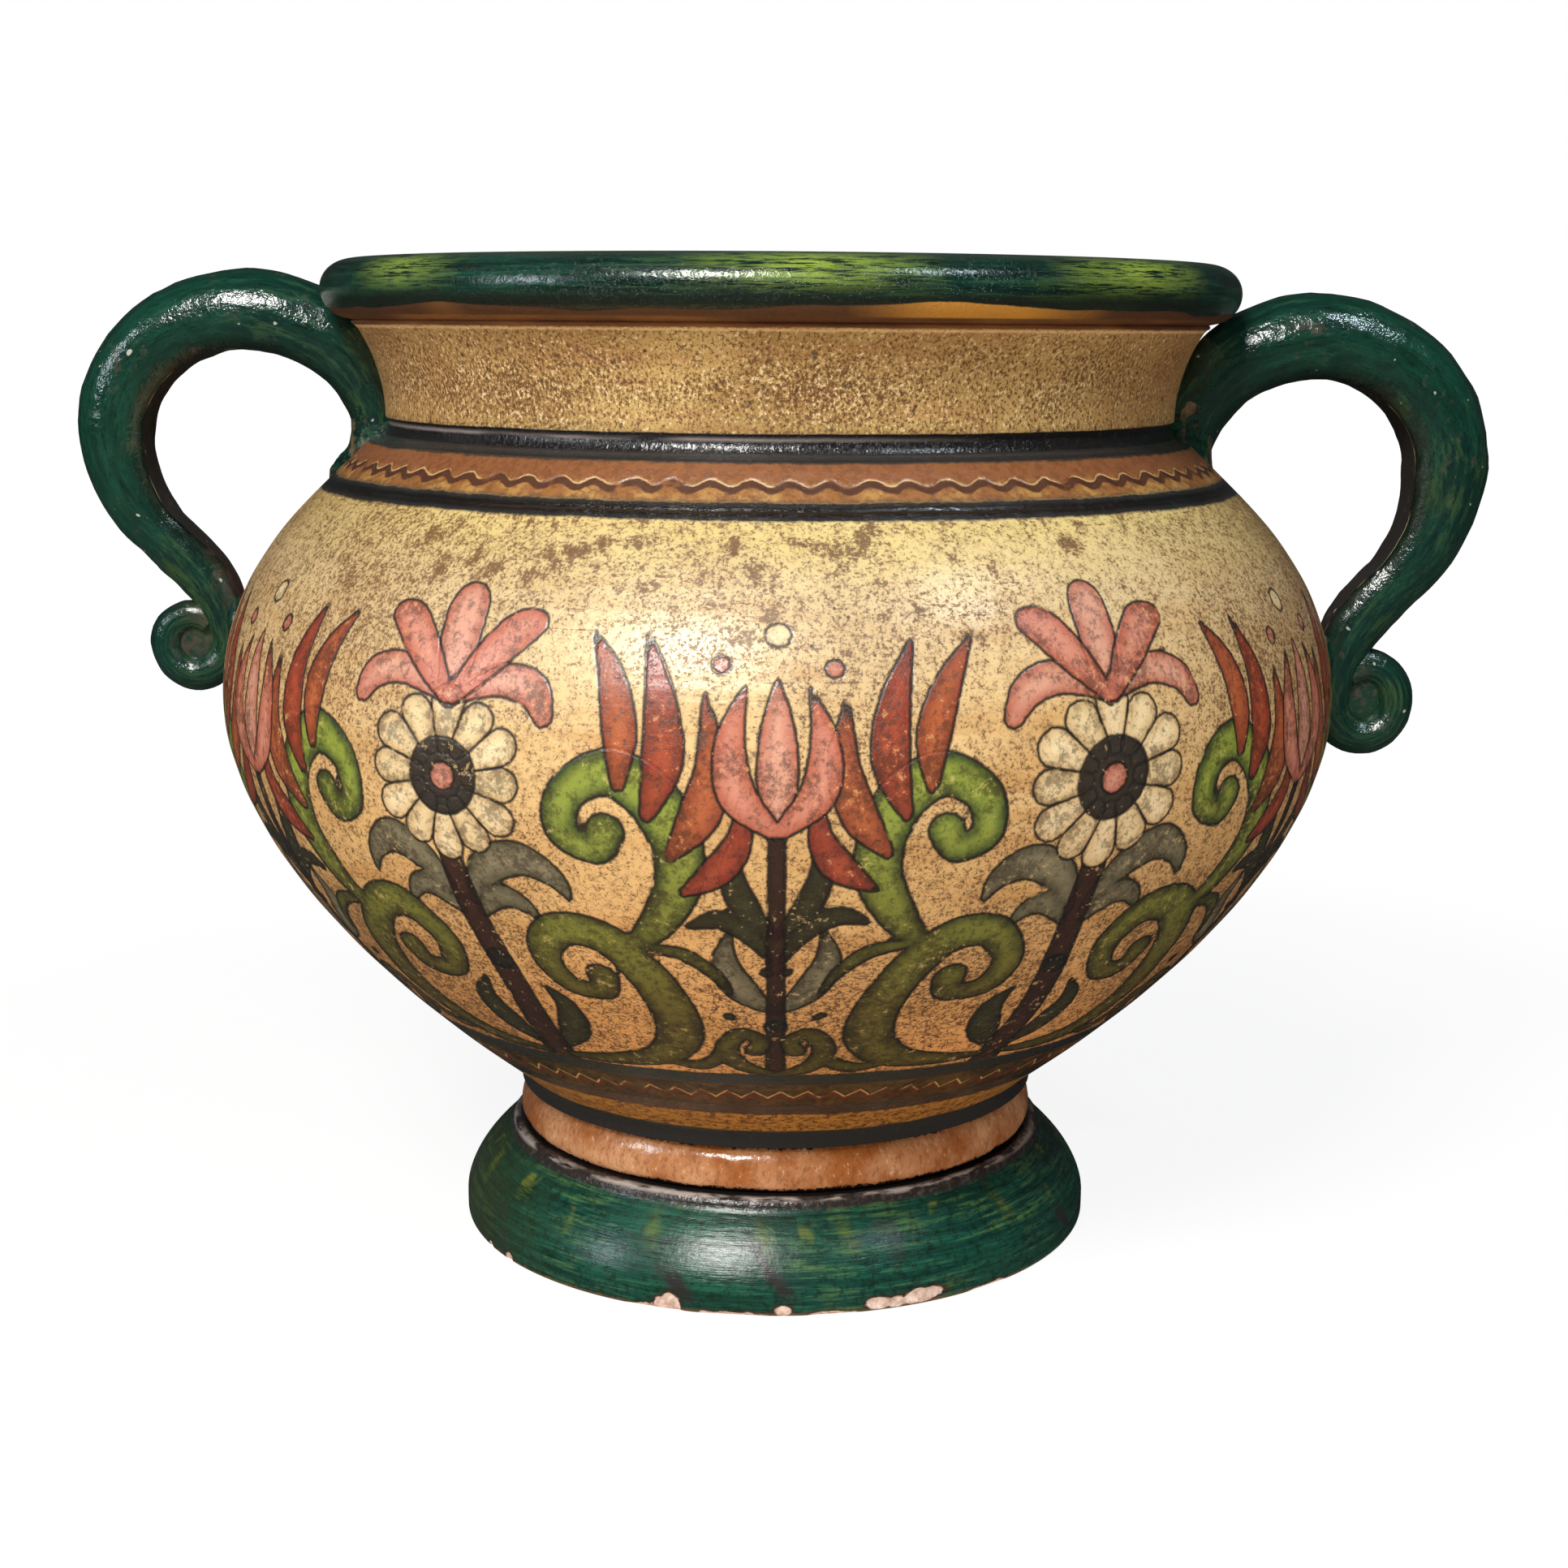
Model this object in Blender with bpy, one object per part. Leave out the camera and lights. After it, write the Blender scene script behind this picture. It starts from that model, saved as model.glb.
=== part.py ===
"""Two-handled painted terracotta vase, built as a potter builds it.

The foot, the bowl and the collar are thrown separately and stacked with lapped joints. A coil of clay
covers the joint between foot and bowl. Two coiled handles end in scrolls, and each is luted on with a
wad of soft clay at its upper and its lower root. The origin is on the vase's axis, where it stands.
Profiles are (radius, height) pairs, and a handle's path lies in the plane through the vase's axis.
"""

import math

import bmesh
import bpy
from mathutils import Vector

MM = 0.001

# General
CLEARANCE = 0.3 * MM
WALL = 9 * MM
SEGMENTS = 56

# Socket that joins foot and bowl: the spigot's bore, its wall and height, and how deep the tenon sits
SPIGOT_BORE = 62.3 * MM
SPIGOT_WALL = 10 * MM
SPIGOT_HEIGHT = 13.1 * MM
TENON_DEPTH = 7.5 * MM

# Foot: a flared pedestal, hollow beneath
FOOT_HEIGHT = 28.4 * MM
FOOT_EDGE_HEIGHT = 6.2 * MM
FOOT_CHAMFER = 0.7 * MM
FOOT_SHOULDER_WIDTH = 8.2 * MM
FOOT_SHOULDER_ROUND = 3.1 * MM
FOOT_FLARE = 13.3 * MM
FOOT_FULLNESS = 1.7
FOOT_STANDING_WIDTH = 14 * MM
FOOT_CROWN_THICKNESS = 4.5 * MM

# Waist ring: the coil round the joint of foot and bowl, wider at its lower edge
RING_LOWER_WIDTH = 3.8 * MM
RING_UPPER_WIDTH = 3 * MM
RING_SWELL = 2.4 * MM

# Bowl: each rise is counted from the line below it, each inset from the radius below it
WAIST_OVERHANG = 4.6 * MM
WAIST_GROOVE_HEIGHT = 1.7 * MM
WAIST_COVE_RADIUS = 6.4 * MM
WAIST_COVE_TURN = math.radians(58)
BELLY_RADIUS = 160 * MM
BELLY_RISE = 114.4 * MM
BELLY_LOWER_FULLNESS = 1.78
BELLY_UPPER_FULLNESS = 2.2
SHOULDER_RISE = 60 * MM
SHOULDER_INSET = 29 * MM
LEDGE_RISE = 13 * MM
LEDGE_INSET = 13.6 * MM
COVE_RADIUS = 5.4 * MM
FLOOR_THICKNESS = 15.5 * MM
FLOOR_COVE = 20 * MM

# Lapped joint between bowl and collar, part of the way round the cove
LAP_TURN = math.radians(50)
LAP_HEIGHT = 5 * MM
LAP_WIDTH = 4.6 * MM

# Collar
NECK_STEP = 0.8 * MM
NECK_RISE = 26.4 * MM
NECK_FLARE = 8.2 * MM
NECK_FULLNESS = 2.1
RIM_OVERHANG = 9.2 * MM
RIM_THICKNESS = 18.5 * MM
RIM_DEPTH = 16.4 * MM
RIM_LIFT = 0.7 * MM

# Handles: the coil's flat towards the loop, how deep its root is bedded in the neck and how deep the
# scroll is pressed into the belly
COIL_FLAT = 3 * MM
COIL_SIDES = 14
ROOT_BEDDING = 5.5 * MM
SEAT_PRESS = 2.2 * MM
RUN_TURN = math.radians(45)
SCROLL_TURN = math.radians(310)
SCROLL_TIGHTENING = 1.7
EYE_HOLLOW = 2.2 * MM

# What differs between the two handles, which were rolled and bent by hand. Stand-out is counted from
# the belly's side, the loop's lift from the ledge and the scroll's from the belly's widest line.
HANDLES = {
    "left": {
        "side": -1,
        "stand_out": 43.6 * MM,
        "loop_lift": 0.5 * MM,
        "loop_rise": 33.9 * MM,
        "loop_fall": 39 * MM,
        "root_coil": 17 * MM,
        "crown_coil": 26 * MM,
        "side_coil": 23.3 * MM,
        "run_coil": 18.2 * MM,
        "scroll_coil": 10.4 * MM,
        "scroll_tip_coil": 8.4 * MM,
        "scroll_radius": 10 * MM,
        "scroll_tip_radius": 7.2 * MM,
        "scroll_width": 1.0,
        "scroll_lift": 12.7 * MM,
        "pad_lift": 6 * MM,
    },
    "right": {
        "side": 1,
        "stand_out": 45.8 * MM,
        "loop_lift": -7 * MM,
        "loop_rise": 36.1 * MM,
        "loop_fall": 43.5 * MM,
        "root_coil": 18 * MM,
        "crown_coil": 27.2 * MM,
        "side_coil": 26 * MM,
        "run_coil": 19.2 * MM,
        "scroll_coil": 11.8 * MM,
        "scroll_tip_coil": 9.8 * MM,
        "scroll_radius": 11.2 * MM,
        "scroll_tip_radius": 9.6 * MM,
        "scroll_width": 0.88,
        "scroll_lift": -2.1 * MM,
        "pad_lift": 13 * MM,
    },
}

# Luting clay: a skirt round each upper root and a pad behind each lower run
SKIRT_WIDTH = 4.5 * MM
SKIRT_LIP = 0.8 * MM
SKIRT_LENGTH = 16 * MM
PAD_PROUD = 4 * MM
PAD_OVERLAP = 3 * MM
PAD_LENGTH = 30 * MM

# Colour and roughness
GREEN = ((0.010, 0.075, 0.045), 0.3)
OCHRE = ((0.50, 0.30, 0.10), 0.45)
ORANGE = ((0.42, 0.16, 0.05), 0.42)

# Radii and heights that follow
SPIGOT_RADIUS = SPIGOT_BORE + SPIGOT_WALL
SPIGOT_TOP = FOOT_HEIGHT + SPIGOT_HEIGHT
FOOT_SHOULDER_RADIUS = SPIGOT_RADIUS + FOOT_SHOULDER_WIDTH
FOOT_RADIUS = FOOT_SHOULDER_RADIUS + FOOT_FLARE
TENON_RADIUS = SPIGOT_BORE - CLEARANCE
TENON_UNDERSIDE = SPIGOT_TOP - TENON_DEPTH
BOWL_UNDERSIDE = SPIGOT_TOP + CLEARANCE
WAIST_RADIUS = SPIGOT_RADIUS + WAIST_OVERHANG
COVE_BASE = BOWL_UNDERSIDE + WAIST_GROOVE_HEIGHT
BELLY_HEIGHT = COVE_BASE + BELLY_RISE
SHOULDER_RADIUS = BELLY_RADIUS - SHOULDER_INSET
SHOULDER_HEIGHT = BELLY_HEIGHT + SHOULDER_RISE
LEDGE_RADIUS = SHOULDER_RADIUS - LEDGE_INSET
LEDGE_HEIGHT = SHOULDER_HEIGHT + LEDGE_RISE
MOUTH_BORE = LEDGE_RADIUS - COVE_RADIUS - WALL
JOINT_HEIGHT = LEDGE_HEIGHT + COVE_RADIUS * (1 - math.cos(LAP_TURN))
NECK_RADIUS = LEDGE_RADIUS - COVE_RADIUS + NECK_STEP
NECK_BASE = LEDGE_HEIGHT + COVE_RADIUS + NECK_STEP
NECK_TOP_RADIUS = NECK_RADIUS + NECK_FLARE
NECK_TOP = NECK_BASE + NECK_RISE
RIM_RADIUS = NECK_TOP_RADIUS + RIM_OVERHANG
RIM_MIDDLE = NECK_TOP + RIM_LIFT + RIM_DEPTH / 2


def power_curve(start, end, fullness, count):
    """Points from start, where the wall is upright, to end, leaving the upright ever faster."""
    points = []
    for step in range(count + 1):
        share = step / count
        radius = start[0] + (end[0] - start[0]) * share**fullness
        points.append((radius, start[1] + (end[1] - start[1]) * share))
    return points


def arc(centre, radius_x, radius_z, first, last, count):
    """Points on an ellipse, between two angles in radians."""
    points = []
    for step in range(count + 1):
        angle = first + (last - first) * step / count
        points.append((centre[0] + radius_x * math.cos(angle), centre[1] + radius_z * math.sin(angle)))
    return points


def offset(points, distance):
    """The profile moved sideways, to its left as it runs."""
    moved = []
    for index, point in enumerate(points):
        before = Vector(points[max(index - 1, 0)])
        after = Vector(points[min(index + 1, len(points) - 1)])
        along = (after - before).normalized()
        moved.append((point[0] - along.y * distance, point[1] + along.x * distance))
    return moved


def mix(first, second, share):
    return first + (second - first) * share


def belly_profile():
    """The outside of the bowl, from its waist up to the shoulder line."""
    centre = (WAIST_RADIUS + WAIST_COVE_RADIUS, COVE_BASE)
    cove = arc(centre, WAIST_COVE_RADIUS, WAIST_COVE_RADIUS, math.pi, math.pi - WAIST_COVE_TURN, 3)
    widest = (BELLY_RADIUS, BELLY_HEIGHT)
    lower = power_curve(widest, cove[-1], BELLY_LOWER_FULLNESS, 9)
    upper = power_curve(widest, (SHOULDER_RADIUS, SHOULDER_HEIGHT), BELLY_UPPER_FULLNESS, 6)
    return cove + lower[-2::-1] + upper[1:]


def ledge_cove(first, last, count):
    """The hollow band above the ledge, between two turns counted from the ledge."""
    centre = (LEDGE_RADIUS, LEDGE_HEIGHT + COVE_RADIUS)
    down = -math.pi / 2
    return arc(centre, COVE_RADIUS, COVE_RADIUS, down - first, down - last, count)


def neck_profile():
    """The outside of the neck, flaring from the cove up to the rim's underside."""
    return power_curve((NECK_RADIUS, NECK_BASE), (NECK_TOP_RADIUS, NECK_TOP), NECK_FULLNESS, 5)


def rim_profile(last):
    """The rolled rim, from below its outer edge over the top as far as the last angle."""
    centre = (RIM_RADIUS - RIM_THICKNESS / 2, RIM_MIDDLE)
    first = math.radians(-72)
    count = round((last - first) / math.radians(23))
    return arc(centre, RIM_THICKNESS / 2, RIM_DEPTH / 2, first, last, count)


def belly_radius_at(height):
    """The belly's outer radius between its waist and its shoulder line."""
    if height < BELLY_HEIGHT:
        share = (BELLY_HEIGHT - height) / BELLY_RISE
        return BELLY_RADIUS - (BELLY_RADIUS - WAIST_RADIUS) * share**BELLY_LOWER_FULLNESS
    share = (height - BELLY_HEIGHT) / SHOULDER_RISE
    return BELLY_RADIUS - SHOULDER_INSET * share**BELLY_UPPER_FULLNESS


def finish(name, shape, look):
    """Turn a bmesh into a named, smooth-shaded object with its own material."""
    mesh = bpy.data.meshes.new(name)
    bmesh.ops.recalc_face_normals(shape, faces=shape.faces)
    shape.to_mesh(mesh)
    shape.free()
    mesh.shade_smooth()
    mesh.set_sharp_from_angle(angle=math.radians(40))
    thing = bpy.data.objects.new(name, mesh)
    bpy.context.scene.collection.objects.link(thing)
    colour, roughness = look
    material = bpy.data.materials.new(name)
    material.use_nodes = True
    shader = material.node_tree.nodes["Principled BSDF"]
    shader.inputs["Base Color"].default_value = (*colour, 1)
    shader.inputs["Roughness"].default_value = roughness
    shader.inputs["Metallic"].default_value = 0
    mesh.materials.append(material)
    return thing


def turned(name, profile, look):
    """A solid turned about the vase's axis from a closed profile, or from one that ends on the axis."""
    shape = bmesh.new()
    corners = [shape.verts.new((radius, 0, height)) for radius, height in profile]
    edges = [shape.edges.new(pair) for pair in zip(corners, corners[1:])]
    if profile[0][0] > 0:
        edges.append(shape.edges.new((corners[-1], corners[0])))
    bmesh.ops.spin(
        shape,
        geom=corners + edges,
        cent=(0, 0, 0),
        axis=(0, 0, 1),
        angle=math.tau,
        steps=SEGMENTS,
        use_merge=True,
    )
    bmesh.ops.remove_doubles(shape, verts=shape.verts, dist=0.001 * MM)
    return finish(name, shape, look)


def guide(thing):
    """Mark a solid as one that only cuts or fills others."""
    thing.hide_render = True
    thing.display_type = "WIRE"
    return thing


def combine(thing, operation, *others):
    """Cut each other solid from the thing, or join it on."""
    for other in others:
        boolean = thing.modifiers.new(other.name, "BOOLEAN")
        boolean.operation = operation
        boolean.solver = "EXACT"
        boolean.use_self = operation == "UNION"
        boolean.object = other


def foot():
    """The pedestal: a flared green foot, hollow beneath, with the spigot on top."""
    shoulder = (FOOT_SHOULDER_RADIUS, FOOT_HEIGHT - FOOT_SHOULDER_ROUND)
    flare = power_curve((FOOT_RADIUS, FOOT_EDGE_HEIGHT), shoulder, FOOT_FULLNESS, 5)
    round_centre = (FOOT_SHOULDER_RADIUS - FOOT_SHOULDER_ROUND, shoulder[1])
    rounding = arc(round_centre, FOOT_SHOULDER_ROUND, FOOT_SHOULDER_ROUND, math.radians(30), math.pi / 2, 2)
    hollow_foot = (FOOT_RADIUS - FOOT_STANDING_WIDTH, 0)
    hollow_crown = (SPIGOT_BORE, TENON_UNDERSIDE - FOOT_CROWN_THICKNESS)
    hollow = power_curve(hollow_foot, hollow_crown, FOOT_FULLNESS, 4)
    profile = [(FOOT_RADIUS - FOOT_CHAMFER, 0), (FOOT_RADIUS, FOOT_CHAMFER)]
    profile += flare
    profile += rounding
    profile += [(SPIGOT_RADIUS, FOOT_HEIGHT), (SPIGOT_RADIUS, SPIGOT_TOP), (SPIGOT_BORE, SPIGOT_TOP)]
    profile += hollow[::-1]
    turned("foot", profile, GREEN)


def waist_ring():
    """The coil laid round the joint, resting on the foot's shoulder."""
    inner = SPIGOT_RADIUS + CLEARANCE
    low = FOOT_HEIGHT + CLEARANCE
    profile = [(inner, low)]
    count = 6
    for step in range(count + 1):
        share = step / count
        swell = RING_SWELL * math.sqrt(1 - (2 * share - 1) ** 2)
        width = mix(RING_LOWER_WIDTH, RING_UPPER_WIDTH, share) - RING_SWELL / 2 + swell
        profile.append((inner + width, mix(low, SPIGOT_TOP, share)))
    profile.append((inner, SPIGOT_TOP))
    turned("waist_ring", profile, ORANGE)


def bowl():
    """The belly, from the tenon in the foot to the lapped joint under the collar."""
    outside = belly_profile() + ledge_cove(0, LAP_TURN, 2)
    tongue = MOUTH_BORE + LAP_WIDTH
    tongue_top = JOINT_HEIGHT + LAP_HEIGHT
    inside = offset(outside[3:-2], WALL)[::2]
    floor = TENON_UNDERSIDE + FLOOR_THICKNESS
    profile = [(0, TENON_UNDERSIDE), (TENON_RADIUS, TENON_UNDERSIDE), (TENON_RADIUS, BOWL_UNDERSIDE)]
    profile += [(WAIST_RADIUS, BOWL_UNDERSIDE)]
    profile += outside
    profile += [(tongue, JOINT_HEIGHT), (tongue, tongue_top), (MOUTH_BORE, tongue_top)]
    profile += [(MOUTH_BORE, JOINT_HEIGHT)]
    profile += inside[::-1]
    profile += [(inside[0][0] - FLOOR_COVE, floor), (0, floor)]
    turned("bowl", profile, OCHRE)


def collar():
    """The neck and the rolled rim, lapped over the bowl's tongue."""
    low = JOINT_HEIGHT + CLEARANCE
    lap = MOUTH_BORE + LAP_WIDTH + CLEARANCE
    start = math.acos(1 - (low - LEDGE_HEIGHT) / COVE_RADIUS)
    neck = neck_profile()
    inside = offset(neck[1:], WALL)[::2]
    profile = [(MOUTH_BORE, low + LAP_HEIGHT), (lap, low + LAP_HEIGHT), (lap, low)]
    profile += ledge_cove(start, math.pi / 2, 2) + neck + rim_profile(math.pi)
    profile += inside[::-1]
    turned("collar", profile, OCHRE)


def vessel_guide():
    """The whole vessel's outside, grown by the clearance, which handles and luting are cut back from."""
    outside = belly_profile() + ledge_cove(0, math.pi / 2, 4) + neck_profile() + rim_profile(math.pi / 2)
    outside = offset(outside, -CLEARANCE)
    profile = [(0, outside[0][1])] + outside + [(0, outside[-1][1])]
    return guide(turned("guide_vessel", profile, OCHRE))


def loop_of(sizes):
    """The centre and the half-width of a handle's loop, along the middle of its coil."""
    root_centre = LEDGE_RADIUS - COVE_RADIUS + sizes["root_coil"] / 2 - ROOT_BEDDING
    outermost = BELLY_RADIUS + sizes["stand_out"] - sizes["side_coil"] / 2
    half_width = (outermost - root_centre) / 2
    return (root_centre + half_width, LEDGE_HEIGHT + sizes["loop_lift"]), half_width


def root_angle(sizes):
    """Where on its loop a handle starts: inside the bowl, level with the shoulder line."""
    centre, _ = loop_of(sizes)
    return math.pi + math.asin((centre[1] - SHOULDER_HEIGHT) / sizes["loop_rise"])


def climbing_path(sizes, last, count):
    """The coil from inside the shoulder up along the neck: its points, radii and flats."""
    centre, half_width = loop_of(sizes)
    first = root_angle(sizes)
    path = []
    for index, point in enumerate(arc(centre, half_width, sizes["loop_rise"], first, last, count)):
        angle = mix(first, last, index / count)
        share = (first - angle) / (first - math.pi / 2)
        ease = share * share * (3 - 2 * share)
        path.append((point, mix(sizes["root_coil"], sizes["crown_coil"], ease) / 2, COIL_FLAT * ease))
    return path


def falling_path(sizes):
    """The coil from the loop's crown out, down and in towards the belly."""
    centre, half_width = loop_of(sizes)
    out = arc(centre, half_width, sizes["loop_rise"], math.pi / 2, 0, 6)
    last = -math.atan(sizes["loop_fall"] * math.tan(RUN_TURN) / half_width)
    down = arc(centre, half_width, sizes["loop_fall"], 0, last, 4)
    path = []
    for index, point in enumerate(out[1:]):
        share = (index + 1) / (len(out) - 1)
        path.append((point, mix(sizes["crown_coil"], sizes["side_coil"], share) / 2, COIL_FLAT))
    for index, point in enumerate(down[1:]):
        share = (index + 1) / (len(down) - 1)
        path.append((point, mix(sizes["side_coil"], sizes["run_coil"], share) / 2, COIL_FLAT))
    return path


def scroll_eye(sizes):
    """The scroll's middle, set so that the coil is pressed a little into the belly."""
    height = BELLY_HEIGHT + sizes["scroll_lift"]
    seat = belly_radius_at(height) + sizes["scroll_coil"] / 2 - SEAT_PRESS
    return Vector((seat + sizes["scroll_radius"] * sizes["scroll_width"], height))


def scroll_path(sizes, run):
    """The coil bending from the run onto the belly, then turning back on itself."""
    leave = Vector(run[-1][0])
    eye = scroll_eye(sizes)
    arrive = eye - Vector((sizes["scroll_radius"] * sizes["scroll_width"], 0))
    reach = (leave - arrive).length * 0.42
    heading = (leave - Vector(run[-2][0])).normalized()
    bezier = (leave, leave + heading * reach, arrive + Vector((0, reach)), arrive)
    path = []
    count = 7
    for step in range(1, count + 1):
        share = step / count
        rest = 1 - share
        weights = (rest**3, 3 * share * rest**2, 3 * share**2 * rest, share**3)
        point = sum((corner * weight for corner, weight in zip(bezier, weights)), Vector((0, 0)))
        path.append((point, mix(sizes["run_coil"], sizes["scroll_coil"], share**2) / 2, COIL_FLAT * rest))
    count = 13
    for step in range(1, count + 1):
        share = step / count
        angle = math.pi + SCROLL_TURN * share
        radius = mix(sizes["scroll_radius"], sizes["scroll_tip_radius"], share**SCROLL_TIGHTENING)
        point = eye + radius * Vector((sizes["scroll_width"] * math.cos(angle), math.sin(angle)))
        path.append((point, mix(sizes["scroll_coil"], sizes["scroll_tip_coil"], share) / 2, 0))
    return path


def coil(name, path, side, extra, look):
    """A coil of clay lofted along a path: round, with a flat on the side of the loop's opening."""
    shape = bmesh.new()
    loops = []
    last = len(path) - 1
    for index, (point, radius, flat) in enumerate(path):
        before = Vector(path[max(index - 1, 0)][0])
        after = Vector(path[min(index + 1, last)][0])
        along = (after - before).normalized()
        opening = Vector((along.y, -along.x))
        ring = []
        for number in range(COIL_SIDES):
            angle = math.tau * number / COIL_SIDES
            inward = min((radius + extra) * math.cos(angle), radius + extra - flat)
            place = Vector(point) + opening * inward
            ring.append(shape.verts.new((side * place.x, (radius + extra) * math.sin(angle), place.y)))
        loops.append([shape.edges.new((ring[i], ring[i - 1])) for i in range(COIL_SIDES)])
        if index in (0, last):
            shape.faces.new(ring)
    for first, second in zip(loops, loops[1:]):
        bmesh.ops.bridge_loops(shape, edges=first + second)
    return finish(name, shape, look)


def eye_button(which, extra):
    """The flattened clay in the scroll's eye, hollowed a little below the coil round it."""
    sizes = HANDLES[which]
    eye = scroll_eye(sizes)
    shape = bmesh.new()
    bmesh.ops.create_uvsphere(shape, u_segments=12, v_segments=8, radius=1)
    across = sizes["scroll_radius"] * 0.72 + extra
    thick = sizes["scroll_tip_coil"] / 2 - EYE_HOLLOW + extra
    bmesh.ops.scale(shape, verts=shape.verts, vec=(across * sizes["scroll_width"], thick, across))
    bmesh.ops.translate(shape, verts=shape.verts, vec=(sizes["side"] * eye.x, 0, eye.y))
    return guide(finish("guide_eye_" + which, shape, GREEN))


def handle(which, vessel):
    """One handle, cut to sit on the shoulder, the neck and the belly, with a larger copy as a guide."""
    sizes = HANDLES[which]
    path = climbing_path(sizes, math.pi / 2, 12)
    path += falling_path(sizes)
    path += scroll_path(sizes, path)
    solid = coil("handle_" + which, path, sizes["side"], 0, GREEN)
    combine(solid, "UNION", eye_button(which, 0))
    combine(solid, "DIFFERENCE", vessel)
    return guide(coil("guide_handle_" + which, path, sizes["side"], CLEARANCE, GREEN))


def upper_lute(which, vessel, handle_guide):
    """The skirt of soft clay pressed round a handle's upper root, thinning as it climbs the coil."""
    sizes = HANDLES[which]
    last = root_angle(sizes) - SKIRT_LENGTH / sizes["loop_rise"]
    path = climbing_path(sizes, last, 6)
    skirt = []
    for index, (point, radius, flat) in enumerate(path):
        rest = 1 - index / (len(path) - 1)
        skirt.append((point, radius + mix(SKIRT_LIP, SKIRT_WIDTH, rest**2), flat))
    solid = coil("lute_" + which + "_upper", skirt, sizes["side"], 0, GREEN)
    combine(solid, "DIFFERENCE", vessel, handle_guide)


def lower_lute(which, vessel, handle_guide):
    """The pad of soft clay between a handle's lower run and the belly."""
    sizes = HANDLES[which]
    height = BELLY_HEIGHT + sizes["scroll_lift"] + sizes["pad_lift"]
    half_width = sizes["run_coil"] / 2 + PAD_OVERLAP
    shape = bmesh.new()
    bmesh.ops.create_uvsphere(shape, u_segments=16, v_segments=10, radius=1)
    bmesh.ops.scale(shape, verts=shape.verts, vec=(PAD_PROUD, half_width, PAD_LENGTH / 2))
    place = (sizes["side"] * belly_radius_at(height), 0, height)
    bmesh.ops.translate(shape, verts=shape.verts, vec=place)
    solid = finish("lute_" + which + "_lower", shape, GREEN)
    combine(solid, "DIFFERENCE", vessel, handle_guide)


def build():
    for thing in list(bpy.context.scene.objects):
        bpy.data.objects.remove(thing)
    foot()
    waist_ring()
    bowl()
    collar()
    vessel = vessel_guide()
    for which in HANDLES:
        handle_guide = handle(which, vessel)
        upper_lute(which, vessel, handle_guide)
        lower_lute(which, vessel, handle_guide)


build()
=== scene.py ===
"""Looks of the painted terracotta vase, dressed over its solids.

Every piece is modelled again at a fine grain from the potter's own steps: profiles are spun as on the
wheel, coils are rolled along their paths, and the paint follows the surface. Lengths are in metres, and
the painter's sizes in millimetres. The front of the vase faces -Y, and its axis is Z.
"""

import math

import bmesh
import bpy
import numpy as np
from bpy.props import FloatProperty, FloatVectorProperty, PointerProperty
from mathutils import Euler, Matrix, Vector, noise


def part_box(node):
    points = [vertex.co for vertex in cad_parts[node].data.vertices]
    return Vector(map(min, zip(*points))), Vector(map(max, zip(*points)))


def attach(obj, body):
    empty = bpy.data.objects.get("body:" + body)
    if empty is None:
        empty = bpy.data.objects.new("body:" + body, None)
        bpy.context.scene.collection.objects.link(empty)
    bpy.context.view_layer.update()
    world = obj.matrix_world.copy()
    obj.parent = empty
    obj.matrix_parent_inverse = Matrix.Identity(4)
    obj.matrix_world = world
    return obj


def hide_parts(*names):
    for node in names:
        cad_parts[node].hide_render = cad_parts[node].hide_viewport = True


bl_info = {
    "name": "Painted terracotta vase",
    "version": (1, 0, 0),
    "blender": (4, 5, 0),
    "location": "View3D > Sidebar > Vase",
    "description": "Dresses the vase's solids with thrown, rolled and painted surfaces",
    "category": "Object",
}

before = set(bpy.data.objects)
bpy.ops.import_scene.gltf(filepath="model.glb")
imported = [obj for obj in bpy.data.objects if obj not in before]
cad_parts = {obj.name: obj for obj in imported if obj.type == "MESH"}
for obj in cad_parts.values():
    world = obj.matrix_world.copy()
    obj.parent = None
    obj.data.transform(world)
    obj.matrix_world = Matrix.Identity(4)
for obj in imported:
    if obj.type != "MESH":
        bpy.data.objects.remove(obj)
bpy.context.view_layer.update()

MM = 0.001

# The frame's own lines, read from the solids, which lie this far apart
GAP = 0.3 * MM
BELLY_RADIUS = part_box("bowl")[1].x
RIM_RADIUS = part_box("collar")[1].x
RIM_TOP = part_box("collar")[1].z
FOOT_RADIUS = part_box("foot")[1].x
BOWL_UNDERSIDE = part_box("waist_ring")[1].z + GAP
FOOT_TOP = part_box("waist_ring")[0].z - GAP
SPIGOT_RADIUS = 72.3 * MM

# Vessel, as thrown
WALL = 9 * MM
WAIST_RADIUS = SPIGOT_RADIUS + 4.6 * MM
COVE_BASE = BOWL_UNDERSIDE + 1.7 * MM
WAIST_COVE = 6.4 * MM
WAIST_COVE_TURN = math.radians(58)
BELLY_HEIGHT = COVE_BASE + 114.4 * MM
BELLY_LOWER_FULLNESS = 1.78
BELLY_UPPER_FULLNESS = 2.2
SHOULDER = (BELLY_RADIUS - 29 * MM, BELLY_HEIGHT + 60 * MM)
LEDGE = (SHOULDER[0] - 13.6 * MM, SHOULDER[1] + 13 * MM)
COVE_RADIUS = 5.4 * MM
JOINT_TURN = math.radians(50)
MOUTH_BORE = LEDGE[0] - COVE_RADIUS - WALL
LAP_WIDTH = 4.6 * MM
LAP_DEPTH = 5 * MM
NECK = (LEDGE[0] - COVE_RADIUS + 0.8 * MM, LEDGE[1] + COVE_RADIUS + 0.8 * MM)
NECK_TOP = (NECK[0] + 8.2 * MM, NECK[1] + 26.4 * MM)
NECK_FULLNESS = 2.1
RIM_THICKNESS = 18.5 * MM
RIM_DEPTH = 16.4 * MM
RIM_MIDDLE = (RIM_RADIUS - RIM_THICKNESS / 2, RIM_TOP - RIM_DEPTH / 2)
RIM_START = math.radians(-72)
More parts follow.
